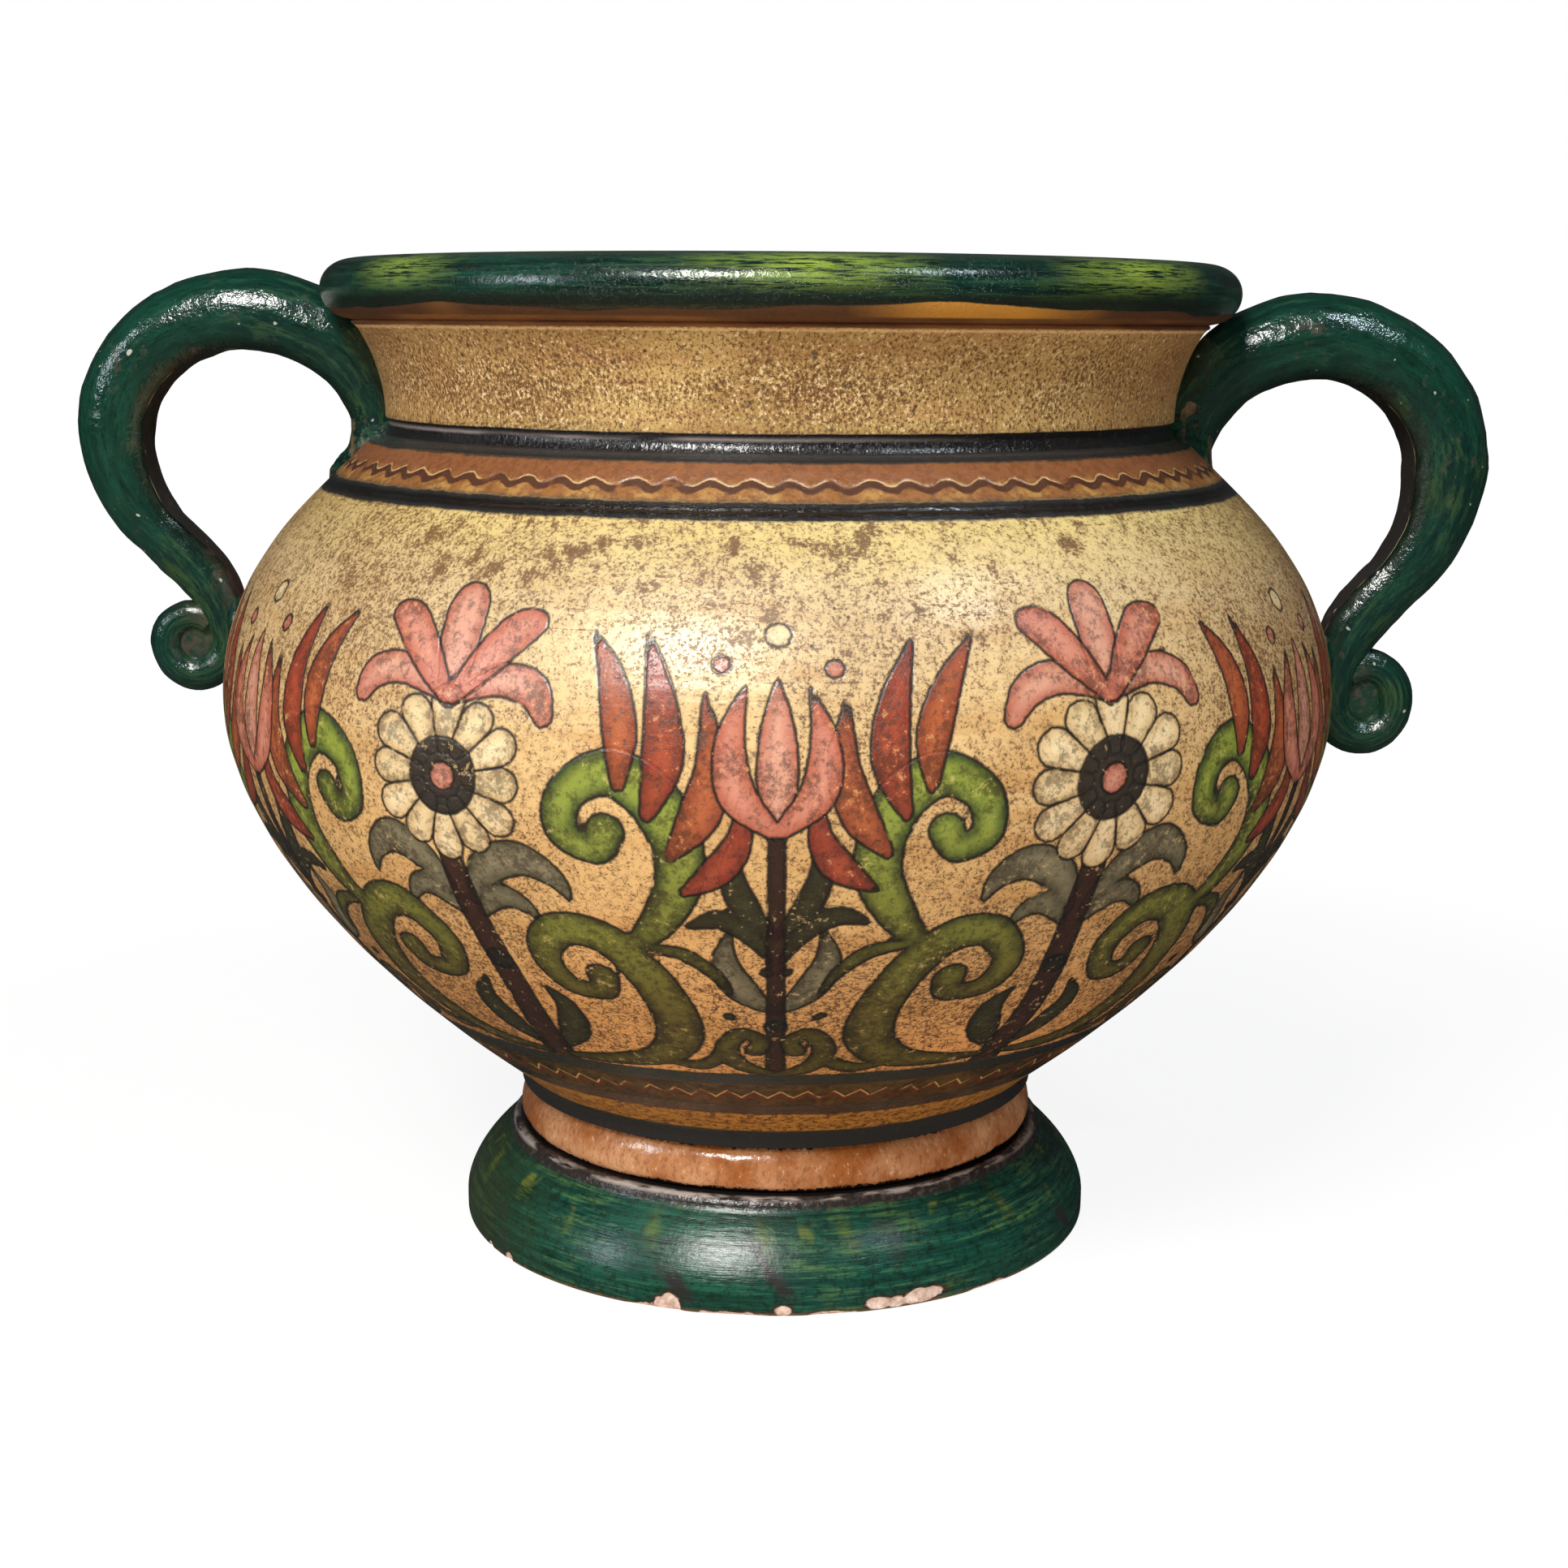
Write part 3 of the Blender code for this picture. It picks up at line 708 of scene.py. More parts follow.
class Tone:
    """Tones mixed for single marks and layers, as linear red, green and blue."""

    # Green paint
    patina = (0.003, 0.006, 0.005)

    # Ochre ground
    wash = (0.56, 0.28, 0.075)
    shoulder = (0.84, 0.67, 0.25)
    stain_and_side_shade = (0.40, 0.20, 0.060)
    umber_and_side_shade = (0.42, 0.20, 0.060)
    ground_scratch = (0.16, 0.07, 0.02)
    crackle = (0.09, 0.035, 0.012)
    ground_pit = (0.03, 0.018, 0.012)

    # Frieze
    outline = (0.012, 0.010, 0.009)
    worn_paint = (0.045, 0.024, 0.010)
    bare_ground = (0.66, 0.46, 0.20)

    # Ledge and its wave
    ledge_low = (0.32, 0.135, 0.036)
    ledge_pale = (0.48, 0.26, 0.072)
    ledge_grime = (0.16, 0.050, 0.014)
    wave = (0.085, 0.030, 0.016)
    wave_painted_highlight = (0.72, 0.46, 0.18)

    # Bands above the waist
    olive_dark = (0.052, 0.023, 0.006)
    olive = (0.13, 0.068, 0.015)
    zigzag = (0.15, 0.028, 0.012)
    zigzag_painted_highlight = (0.72, 0.48, 0.16)
    ochre = (0.53, 0.24, 0.040)
    ochre_dark = (0.15, 0.048, 0.009)

    # Black lines
    line_dust = (0.07, 0.065, 0.06)
    line_worn = (0.045, 0.042, 0.040)
    line_edge = (0.10, 0.07, 0.045)
    cove_dust = (0.07, 0.068, 0.068)
    cove_painted_highlight = (0.36, 0.31, 0.30)

    # Neck and fillet
    neck = (0.38, 0.215, 0.058)
    neck_pale = (0.60, 0.41, 0.14)
    neck_foot = (0.43, 0.30, 0.085)
    neck_speck = (0.125, 0.046, 0.011)
    neck_painted_glint = (1, 0.84, 0.52)
    neck_dot = (0.055, 0.026, 0.012)
    neck_pit = (0.07, 0.035, 0.03)
    neck_scratch = (0.20, 0.085, 0.05)
    fillet = (0.11, 0.035, 0.009)
    fillet_brown_and_shade = (0.26, 0.10, 0.018)
    bead_painted_highlight = (0.95, 0.70, 0.38)

    # Rim
    rim_lime = (0.36, 0.50, 0.06)
    rim_shade = (0.009, 0.012, 0.008)
    rim_top_grey = (0.045, 0.070, 0.050)
    under_rim_brown_and_shade = (0.10, 0.034, 0.007)
    under_rim_ochre = (0.56, 0.26, 0.025)

    # Foot
    mottle = (0.004, 0.014, 0.008)
    left_olive = (0.035, 0.042, 0.010)
    runs = (0.035, 0.035, 0.033)
    fleck = (0.24, 0.27, 0.02)
    drip = (0.028, 0.026, 0.026)
    dirt = (0.032, 0.026, 0.024)
    dirt_dry = (0.090, 0.078, 0.074)
    groove_wear_and_highlight = (0.50, 0.44, 0.40)
    groove_painted_shade = (0.014, 0.011, 0.010)
    chip_edge = (0.050, 0.022, 0.014)
    chip = (0.50, 0.33, 0.26)
    chip_pale = (0.90, 0.75, 0.66)
    standing_dirt = (0.20, 0.105, 0.045)

    # Waist ring
    ring = (0.47, 0.155, 0.037)
    ring_pale = (0.78, 0.41, 0.205)
    ring_speck = (0.26, 0.085, 0.025)
    ring_bright = (0.95, 0.70, 0.45)

    # Coils and smeared clay
    coil_shade = (0.003, 0.007, 0.006)
    coil_flat = (0.012, 0.008, 0.006)
    coil_worn = (0.085, 0.062, 0.050)
    coil_scratch = (0.60, 0.44, 0.24)
    coil_spot = (0.55, 0.55, 0.48)
    smear = (0.30, 0.17, 0.09)
    smear_dark = (0.08, 0.035, 0.015)


# How noise is stretched, round the vase or up and down it, and what teal keeps of the green
WHEELED = (0.16, 0.16, 1.5)
DRIPPING = (1, 1, 0.2)
TEAL = (0.8, 0.8, 1.0)


def tinted(colour, share):
    return tuple(share * part for part in colour)


def turn_of(look):
    """Turn round the axis in radians, 0 at the front and growing to the right."""
    return look.node("ShaderNodeMath", {"operation": "ARCTAN2"}, {0: look.x, 1: look.y * -1})


def leave_bare(look, colours):
    """Leave the clay bare inside and underneath, and return where that is."""
    inner = look.attribute("inside")
    cloud = look.noise(14, 4, 0.6).ramp(0.35, 0.65)
    look.paint(inner, look.mix(cloud, colours.clay, tinted(colours.clay, 0.68)))
    return inner


def green_paint(look, along, colours, strength, limes, streaks=0.9):
    """Emerald paint with yellow-green streaks and dark patina: its colour, roughness, streaks and grain."""
    streak = look.noise(1.8, 4, 0.7, place=along)
    cloud = look.noise(24, 3, 0.6)
    grain = look.noise(0.5, 3, 0.75, place=along)
    green = tinted(colours.green, strength)
    teal = tuple(part * share for part, share in zip(green, TEAL))
    colour = look.mix(cloud.ramp(0.4, 0.6), green, teal)
    colour = look.mix(streak.ramp(0.60, 0.40) * streaks, colour, tinted(green, 0.2))
    lime = (streak * 0.7 + cloud * 0.8 + grain * 0.4).ramp(1.0, 1.18)
    colour = look.mix(lime * limes, colour, tinted(colours.lime, strength))
    colour = look.mix(grain.ramp(0.46, 0.36) * 0.55, colour, Tone.patina)
    return colour, grain.ramp(0.3, 0.7) * 0.12 + 0.16, streak, grain


def paint_ground(look, angle, colours):
    """Ochre ground, paler towards the shoulder, sponged and crackled brown: its specks, pits and grains. The
    tan low on the belly is brightened as painted light, and painted shade darkens the ground towards the
    sides.
    """
    height = look.height
    patch = look.noise(34, 3, 0.6)
    brushed = look.noise(8, 3, 0.6, (0.30, 0.30, 1.6))
    # Partly painted light: the tan low on the belly is lighter than the ground's own tone, where the belly
    # faces down.
    look.colour = look.mix((height + patch * 40 - 20).ramp(76, 128), colours.tan, colours.gold)
    look.paint((height + patch * 60 - 30).ramp(140, 200), colours.cream)
    look.paint(brushed.ramp(0.48, 0.66) * height.ramp(215, 185) * 0.55, Tone.wash)
    look.paint((height + brushed * 16).ramp(208, 224) * 0.8, Tone.shoulder)
    grain = look.noise(0.5, 3, 0.75)
    coarse = look.noise(1.4, 3, 0.75)
    sideways = abs(angle.sine())
    top = height.ramp(186, 212) * sideways.ramp(0.85, 0.45)
    smear = look.noise(4.5, 3, 0.6, (1, 1, 0.45)).ramp(0.54, 0.68) * (top + 0.15)
    cloud = patch.ramp(0.40, 0.66)
    # Painted shade: the ground darkens towards the sides, a quarter turn from the front, where the light
    # falls off; the clouds and smears laid with it are real stains.
    side = sideways.ramp(0.55, 0.98)
    look.paint(cloud * 0.30 + smear * 0.45 + side * 0.32, Tone.stain_and_side_shade)
    density = cloud * 0.05 + height.ramp(140, 90) * 0.02 + smear * 0.14 + side * 0.045
    look.paint(coarse.ramp(0.44, 0.62) * 0.22, Tone.umber_and_side_shade)
    speck = (grain * 0.72 + coarse * 0.28 + density).ramp(0.53, 0.62)
    look.paint(speck * 0.85, colours.stipple)
    scratch = look.noise(0.9, 2, 0.5, (0.05, 0.05, 1.8)).ramp(0.675, 0.715)
    look.paint(scratch * coarse.ramp(0.42, 0.52) * 0.7, Tone.ground_scratch)
    cells = look.node(
        "ShaderNodeTexVoronoi", {"feature": "DISTANCE_TO_EDGE"},
        {"Vector": look.stretch((0.8, 0.8, 1.3)), "Scale": 0.42}, output="Distance")
    crackle = cells.ramp(0.075, 0.02) * (height.ramp(130, 100) * 0.6 + 0.4) * coarse.ramp(0.43, 0.54)
    look.paint(crackle * 0.8, Tone.crackle)
    pit = look.noise(3.0, 2, 0.5).ramp(0.735, 0.77)
    look.paint(pit * 0.85, Tone.ground_pit)
    return speck, pit, grain, coarse


def paint_frieze(look, relief, wobble, fine, broad, grain, coarse):
    """Each pigment over the one before, dark and outlined at its edge, then all of it worn: the relief."""
    painted = 0
    for pigment, (edge, heart) in PIGMENTS.items():
        distance = look.attribute(pigment) + (fine * 0.7 + wobble * 0.4)
        inside = distance.ramp(0.2, -0.2)
        depth = (distance * -1 + broad * 4 - 2).ramp(0, 3.6)
        if pigment == "vine":
            edge = look.mix(look.height.ramp(105, 150), edge, VINE_TOP_EDGE)
            heart = look.mix(look.height.ramp(95, 150), heart, VINE_TOP_HEART)
        look.paint(inside * 0.97, look.mix(depth, edge, heart))
        outline = distance.near(0.08, 0.38, 0.26)
        look.paint(outline * broad.ramp(0.28, 0.38) * 0.95, Tone.outline)
        painted = inside.most(painted)
        relief = relief - outline * 0.12
    worn = (coarse * 0.7 + grain * 0.3 + wobble * 0.3).ramp(0.47, 0.60)
    look.paint(painted * worn * 0.62, Tone.worn_paint)
    bare = (coarse * -1 + grain * -0.4 + wobble * 0.3).ramp(-0.56, -0.50)
    look.paint(painted * bare * 0.55, Tone.bare_ground)
    return relief


def paint_ledge(look, relief, band, angle, wobble, fine, broad, coarse, colours):
    """The orange ledge, ochre at its foot, with a dark wave and a painted highlight as a pale line along the
    wave's upper edge.
    """
    wave = (angle * WAVES + wobble * 2.2).sine()
    ground = look.mix(broad.ramp(0.45, 0.6), Tone.ledge_low, Tone.ledge_pale)
    ground = look.mix((band + wave * 0.5).above(WAVE_LINE - 0.3, 1.3), ground, colours.orange)
    ground = look.mix((coarse + fine * 0.3).ramp(0.46, 0.60) * 0.6, ground, Tone.ledge_grime)
    crest = band - wave * WAVE_RISE
    dark = crest.near(WAVE_LINE - 0.5, 0.85, 0.2) * broad.ramp(0.30, 0.42)
    ground = look.mix(dark, ground, Tone.wave)
    # Painted highlight: a pale line along the incised wave's upper edge.
    pale = crest.near(WAVE_LINE + 0.5, 0.14, 0.16) * broad.ramp(0.44, 0.56)
    ground = look.mix(pale, ground, Tone.wave_painted_highlight)
    ledge = band.above(LEDGE_FOOT, 0.25)
    look.paint(ledge, ground)
    return relief - ledge * crest.near(WAVE_LINE, 0.6, 0.4) * 0.3


def paint_waist(look, relief, band, angle, wobble, fine, broad, grain):
    """The olive band with its zigzag and a painted highlight as a pale line above it, and the ochre one below
    it.
    """
    whole = angle + ZIGZAG_START
    zigzag = look.node("ShaderNodeMath", {"operation": "PINGPONG"}, {0: whole, 1: math.pi / ZIGZAGS})
    crest = band - zigzag * (ZIGZAG_RISE * ZIGZAGS / math.pi)
    olive = look.mix((fine + wobble).ramp(-0.15, 0.2), Tone.olive_dark, Tone.olive)
    dark = crest.near(ZIGZAG_LINE - 0.6, 0.7, 0.25) * broad.ramp(0.30, 0.42)
    olive = look.mix(dark, olive, Tone.zigzag)
    # Painted highlight: a pale line along the incised zigzag's upper edge.
    pale = crest.near(ZIGZAG_LINE + 0.5, 0.22, 0.2) * broad.ramp(0.42, 0.52)
    olive = look.mix(pale, olive, Tone.zigzag_painted_highlight)
    below = band.below(OLIVE_TOP, 0.3)
    look.paint(below, olive)
    ochre = look.mix((fine + grain).ramp(0.42, 0.66), Tone.ochre, Tone.ochre_dark)
    look.paint(band.below(OCHRE_TOP, 0.2), ochre)
    return relief - below * crest.near(ZIGZAG_LINE, 0.8, 0.4) * 0.2


def paint_lines(look, relief, band, fine, colours):
    """The black lines, groove and cove: where they are, and the relief."""
    black = band.near(SHOULDER_LINE, 2.1, 0.3)
    for line in LOWER_LINES:
        black = black.most(band.near(line, 2.2, 0.3))
    black = black.most(band.below(GROOVE_TOP, 0.3)).most(band.above(COVE_FOOT, 0.25))
    tone = look.mix(fine.ramp(0.10, 0.24) * 0.35, colours.black, Tone.line_dust)
    tone = look.mix(band.near(SHOULDER_LINE, 1.2, 0.5) * -0.6 + 0.6, tone, Tone.line_worn)
    look.paint(black, tone)
    look.paint(band.near(SHOULDER_LINE + 2.4, 0.3, 0.3) * fine.ramp(-0.1, 0.1) * 0.7, Tone.line_edge)
    return black, relief + black * 0.10 - band.near(SHOULDER_LINE + 0.1, 0.3, 0.3) * 0.15


def bowl_look(colours):
    look = Look("painted_bowl")
    angle = turn_of(look)
    wobble = look.noise(7, 2, 0.5) - 0.5
    fine = look.noise(1.2, 2, 0.6) - 0.5
    broad = look.noise(5, 3, 0.6)
    band = look.height + wobble * 0.9 + fine * 0.6
    speck, pit, grain, coarse = paint_ground(look, angle, colours)
    relief = speck * -0.04 - pit * 0.10
    relief = paint_frieze(look, relief, wobble, fine, broad, grain, coarse)
    relief = paint_ledge(look, relief, band, angle, wobble, fine, broad, coarse, colours)
    relief = paint_waist(look, relief, band, angle, wobble, fine, broad, grain)
    black, relief = paint_lines(look, relief, band, fine, colours)
    inner = leave_bare(look, colours)
    rough = (grain * 0.25 + 0.21 + speck * 0.12).least(black * -0.38 + 0.55).most(inner * 0.8)
    wheel_rings = look.noise(1.6, 2, 0.5, (0.05, 0.05, 1.2))
    lumps = look.noise(2.4, 3, 0.55) * 0.12 + grain * 0.05 + wheel_rings * 0.10
    return look.varnish(rough, 0.85, relief + lumps)


def paint_neck(look, angle, wobble, fine):
    """Speckled ochre, rubbed in the middle, with one long scratch, pale painted glints among the specks and
    painted shade towards the sides: its specks, pits, grain and scratch.
    """
    height = look.height
    patch = look.noise(22, 3, 0.6)
    grain = look.noise(0.5, 3, 0.75, (1, 1, 0.8))
    look.colour = look.mix(patch.ramp(0.35, 0.65), Tone.neck, Tone.neck_pale)
    look.paint((height + patch * 8).ramp(246, 241) * 0.7, Tone.neck_foot)
    washes = look.noise(3, 3, 0.6, (0.12, 0.12, 1.3)).ramp(0.48, 0.64)
    # Painted shade: the neck darkens towards its sides, beside the handles; the washes are the paint's own.
    side = abs(angle.sine()).ramp(0.4, 0.9)
    look.paint((washes * 0.5).most(side * 0.5), Tone.umber_and_side_shade)
    rubbed = look.noise(20, 3, 0.6, (0.6, 0.6, 1)).ramp(0.40, 0.62) * height.near(NECK_MIDDLE, 8, 7)
    speck = (grain + rubbed * 0.075 + wobble * 0.06).ramp(0.53, 0.63)
    look.paint(speck * 0.9, Tone.neck_speck)
    # Painted highlights: tiny pale glints among the specks.
    painted_glints = (grain * -1 + fine * 0.3 + rubbed * 0.05).ramp(-0.40, -0.32)
    look.paint(painted_glints * 0.7, Tone.neck_painted_glint)
    look.paint(look.noise(1.6, 1, 0.5).ramp(0.70, 0.74) * 0.7, Tone.neck_dot)
    pit = look.noise(4, 2, 0.5).ramp(0.72, 0.75)
    look.paint(pit * 0.8, Tone.neck_pit)
    scratch = (height + angle * 62 + fine * 2).near(230.3, 0.35, 0.3) * angle.near(-0.41, 0.045, 0.01)
    look.paint(scratch * 0.7, Tone.neck_scratch)
    return speck, pit, grain, scratch


def paint_fillet_and_cove(look, band, angle, fine, colours):
    """The dark fillet under the rim, partly painted shade, with a painted highlight as a pale line below it,
    and the black cove with a painted highlight in it: where the cove is.
    """
    # The fillet's dark brown is partly painted shade, under the rim's overhang.
    fillet = look.mix(look.noise(5, 3, 0.6, WHEELED).ramp(0.4, 0.65), Tone.fillet, Tone.fillet_brown_and_shade)
    # Painted highlight: a pale line where the bead under the rim catches the light.
    look.paint((look.height + fine * 0.9).near(FILLET_FOOT - 0.55, 0.2, 0.35) * 0.8, Tone.bead_painted_highlight)
    look.paint(band.above(FILLET_FOOT, 0.15), fillet)
    cove = band.below(COVE_TOP, 0.2)
    tone = look.mix(fine.ramp(0.10, 0.24) * 0.35, colours.black, Tone.cove_dust)
    # Painted highlight: a pale gleam along the cove's upper part, towards the front left.
    painted_gleam = band.near(COVE_TOP - 1.5, 0.35, 0.4) * angle.ramp(0.5, -0.1)
    painted_gleam = painted_gleam * look.noise(4, 2, 0.5, WHEELED).ramp(0.35, 0.5)
    look.paint(cove, look.mix(painted_gleam * 0.8, tone, Tone.cove_painted_highlight))
    return cove


def paint_rim(look, band, angle, wobble, colours):
    """The green rim, whose lower edge lets some ochre show: where the green is, and its roughness."""
    height = look.height
    bare = (look.noise(16, 2, 0.5, (0.5, 0.5, 0.1)) - 0.42).most(0) * 7
    right = angle.near(0.43, 0.12, 0.2) * 2.4
    along = look.stretch((0.10, 0.10, 1.8))
    green, rough, streak, grain = green_paint(look, along, colours, 0.65, 0.5)
    for middle, half in RIM_LIMES:
        patch = angle.near(middle, half, 0.14) * height.ramp(270, 277)
        patch = patch * (streak * 0.7 + grain * 1.3).ramp(0.86, 1.06)
        green = look.mix(patch * 0.85, green, Tone.rim_lime)
    green = look.mix((height + wobble * 3).ramp(273, 269.5) * 0.85, green, Tone.rim_shade)
    # Paler grey-green along the rim's top edge.
    green = look.mix(height.ramp(278.6, 280.2) * 0.7, green, Tone.rim_top_grey)
    # Under the rim the dark brown is partly painted shade; the ochre showing to the right is paint.
    under = look.mix((right + bare * 0.3).ramp(0.5, 1.6), Tone.under_rim_brown_and_shade, Tone.under_rim_ochre)
    look.paint(height.above(UNDER_RIM, 0.2), under)
    painted = (band - GREEN_EDGE - bare - right).above(0, 0.15)
    look.paint(painted, green)
    return painted, rough


def collar_look(colours):
    look = Look("painted_collar")
    angle = turn_of(look)
    wobble = look.noise(7, 2, 0.5) - 0.5
    fine = look.noise(1.2, 2, 0.6) - 0.5
    band = look.height + wobble * 0.5 + fine * 0.2
    speck, pit, grain, scratch = paint_neck(look, angle, wobble, fine)
    cove = paint_fillet_and_cove(look, band, angle, fine, colours)
    painted, rough = paint_rim(look, band, angle, wobble, colours)
    inner = leave_bare(look, colours)
    rough = look.mix(painted, grain * 0.25 + 0.44 - cove * 0.34, rough - 0.05, kind="FLOAT")
    lumps = look.noise(1.1, 3, 0.7)
    rings = look.noise(2.4, 2, 0.5, WHEELED)
    relief = speck * -0.08 - pit * 0.12 + painted * (lumps * 0.15 + rings * 0.08) + grain * 0.05
    upright = look.noise(1.0, 2, 0.6, (1, 1, 0.25))
    relief = relief + (1 - painted) * lumps * 0.12 + cove * upright * 0.30 - scratch * 0.15
    return look.varnish(rough.most(inner * 0.8), 0.75, relief)


def paint_foot(look, angle, wobble, fine, colours):
    """Green with flecks and drips: its roughness, streaks and grain."""
    height = look.height
    along = look.stretch((0.09, 0.09, 1.7))
    # The foot takes a lighter copy of the green paint than the rim and coils: partly its own tone, partly
    # painted light for the sheen on its upturned flare.
    look.colour, rough, streak, grain = green_paint(look, along, colours, 1.4, 0.5, 0.7)
    look.paint(look.noise(1.3, 3, 0.75).ramp(0.50, 0.62) * 0.6, Tone.mottle)
    # Darker olive towards the foot's left side.
    look.paint((look.x * -1 + wobble * 30).ramp(55, 85) * 0.6, Tone.left_olive)
    look.paint(look.noise(9, 2, 0.5, DRIPPING).ramp(0.62, 0.70) * 0.5, Tone.runs)
    flecks = look.noise(5, 2, 0.5, DRIPPING).ramp(0.62, 0.70) * height.ramp(13, 20) * 0.6
    slanted = angle + height * 0.003 + wobble * 0.10
    for turn in FOOT_FLECKS:
        flecks = flecks.most(slanted.near(turn, 0.008, 0.03) * height.near(19.5, 2, 4))
    look.paint(flecks * (grain + streak).ramp(0.80, 1.1) * 0.9, Tone.fleck)
    slanted = angle + height * 0.0087 + wobble * 0.06 + fine * 0.02
    for turn, half, low, high in FOOT_DRIPS:
        drip = slanted.near(turn, half, 0.014) * height.near((low + high) / 2, (high - low) / 2, 2)
        look.paint(drip * 0.95, Tone.drip)
    return rough, streak, grain


def paint_groove(look, wobble, fine):
    """The dark groove on the foot's shoulder, worn to pale clay in places along a line that is partly a
    painted highlight, and darkest under the ring as painted shade: where it is.
    """
    height = look.height
    groove = (height + fine * 1.2 + wobble * 1.2).above(FOOT_GROOVE, 0.5)
    worn = look.noise(2.4, 3, 0.7, (0.25, 0.25, 2)).ramp(0.46, 0.58)
    dirt = look.mix(fine.ramp(0, 0.2), Tone.dirt, Tone.dirt_dry)
    # A pale line near the groove's top: partly wear, partly a painted highlight on the shoulder's rounded
    # edge.
    dirt = look.mix(worn * height.near(FOOT_GROOVE + 2.5, 0.5, 0.4), dirt, Tone.groove_wear_and_highlight)
    # Painted shade: darkest in the recess under the waist ring.
    deep = (look.x * look.x + look.y * look.y).ramp(78.2**2, 77.2**2) * height.ramp(27, 28)
    look.paint(groove, look.mix(deep, dirt, Tone.groove_painted_shade))
    return groove


def paint_chips(look, fine):
    """Plaster-pale chips along the dirty standing edge: where they are."""
    ragged = look.attribute("chip") + (look.noise(2.6, 2, 0.5) - 0.5) * 2.4
    chip = (ragged + fine * 0.5).below(0, 0.15)
    look.paint(ragged.ramp(0.7, 0.3) * 0.8, Tone.chip_edge)
    look.paint(chip, look.mix(look.noise(1.2, 3, 0.6).ramp(0.35, 0.65), Tone.chip, Tone.chip_pale))
    look.paint((look.height + fine * 1.5).ramp(1.3, 0.4) * (1 - chip), Tone.standing_dirt)
    return chip


def foot_look(colours):
    look = Look("painted_foot")
    fine = look.noise(1.2, 2, 0.6) - 0.5
    wobble = look.noise(7, 3, 0.6) - 0.5
    rough, streak, grain = paint_foot(look, turn_of(look), wobble, fine, colours)
    groove = paint_groove(look, wobble, fine)
    chip = paint_chips(look, fine)
    inner = leave_bare(look, colours)
    lumps = look.noise(2.0, 3, 0.6)
    relief = lumps * 0.12 + streak * 0.16 + grain * 0.07 - chip * 0.35 - groove * fine * 0.4
    return look.varnish((rough + 0.06).most(chip * 0.85).most(inner * 0.8), 0.7, relief)


def ring_look(colours):
    look = Look("painted_ring")
    fine = look.noise(0.9, 3, 0.75, (1, 1, 0.6)) - 0.5
    cloud = look.noise(12, 3, 0.6)
    look.colour = look.mix(cloud.ramp(0.40, 0.62), Tone.ring, Tone.ring_pale)
    look.paint(fine.ramp(0.0, 0.16) * 0.6, Tone.ring_speck)
    look.paint(fine.ramp(-0.10, -0.20) * 0.6, Tone.ring_bright)
    lower = (look.height + fine * 4 + cloud * 4).below(RING_EDGES[0], 0.3)
    upper = (look.height + fine * 3 + cloud * 3).above(RING_EDGES[1], 0.2)
    look.paint(lower.most(upper), colours.black)
    return look.varnish(fine * 0.25 + 0.20, 1, look.noise(3, 3, 0.6) * 0.28 + fine * 0.05)


def coil_look(colours):
    """Green varnished coil, with painted shade and patina darkening it towards its flat side, and a
    near-black, rough strip and scratched seam along that side.
    """
    look = Look("varnished_coil")
    run, turn, seam = (look.attribute(part) for part in ("run", "turn", "seam"))
    around = {"Y": turn.sine() * COIL_ROUND, "Z": (turn + math.pi / 2).sine() * COIL_ROUND}
    along = look.node("ShaderNodeCombineXYZ", values={"X": run * 0.22, **around})
    look.colour, rough, streak, _ = green_paint(look, along, colours, 0.68, 0.34, 0.55)
    fine = look.noise(1.2, 2, 0.6) - 0.5
    swell = look.noise(8, 2, 0.5)
    flat = (seam + fine * 1.2).ramp(-0.6, -1.2)
    # Painted shade, with patina: the coil darkens towards its flat side, inside the loop.
    look.paint((seam + fine * 2 + swell * 5).ramp(9, 2) * 0.85, Tone.coil_shade)
    look.paint(flat * 0.9, Tone.coil_flat)
    worn = look.noise(5, 4, 0.7).ramp(0.62, 0.70)
    eye = look.attribute("eye") * (swell + fine).ramp(0.35, 0.6)
    look.paint((worn * 0.5).most(eye * 0.8), Tone.coil_worn)
    scratch = (seam + fine * 0.5).near(-0.7, 0.3, 0.2) * look.noise(13, 2, 0.5).ramp(0.50, 0.58)
    look.paint(scratch, Tone.coil_scratch)
    look.paint(look.noise(2.2, 1, 0.5).ramp(0.765, 0.79) * 0.8, Tone.coil_spot)
    relief = look.noise(1.7, 3, 0.65) * 0.42 + swell * 0.6 + streak * 0.16 - scratch * 0.2
    return look.varnish((rough - 0.03).most(flat * 0.65), 1, relief)


def luting_look(colours):
    look = Look("smeared_clay")
    look.colour, rough, _, _ = green_paint(look, look.place, colours, 0.7, 0.3)
    smear = look.noise(5, 4, 0.65, (1, 1, 0.5))
    look.paint(smear.ramp(0.54, 0.68) * 0.7, Tone.smear)
    look.paint(smear.ramp(0.42, 0.34) * 0.5, Tone.smear_dark)
    return look.varnish(rough + 0.1, 0.5, look.noise(2.4, 4, 0.6) * 0.7)


# Coils

def loop_of(sizes):
    """The centre and the half-width of a handle's loop, in millimetres, along the middle of its coil."""
    root = (LEDGE[0] - COVE_RADIUS) / MM + sizes["root_coil"] / 2 - ROOT_BEDDING
    outermost = BELLY_RADIUS / MM + sizes["stand_out"] - sizes["side_coil"] / 2
    half = (outermost - root) / 2
    return (root + half, LEDGE[1] / MM + sizes["loop_lift"]), half


def root_angle(sizes):
    centre, _ = loop_of(sizes)
    return math.pi + math.asin((centre[1] - SHOULDER[1] / MM) / sizes["loop_rise"])


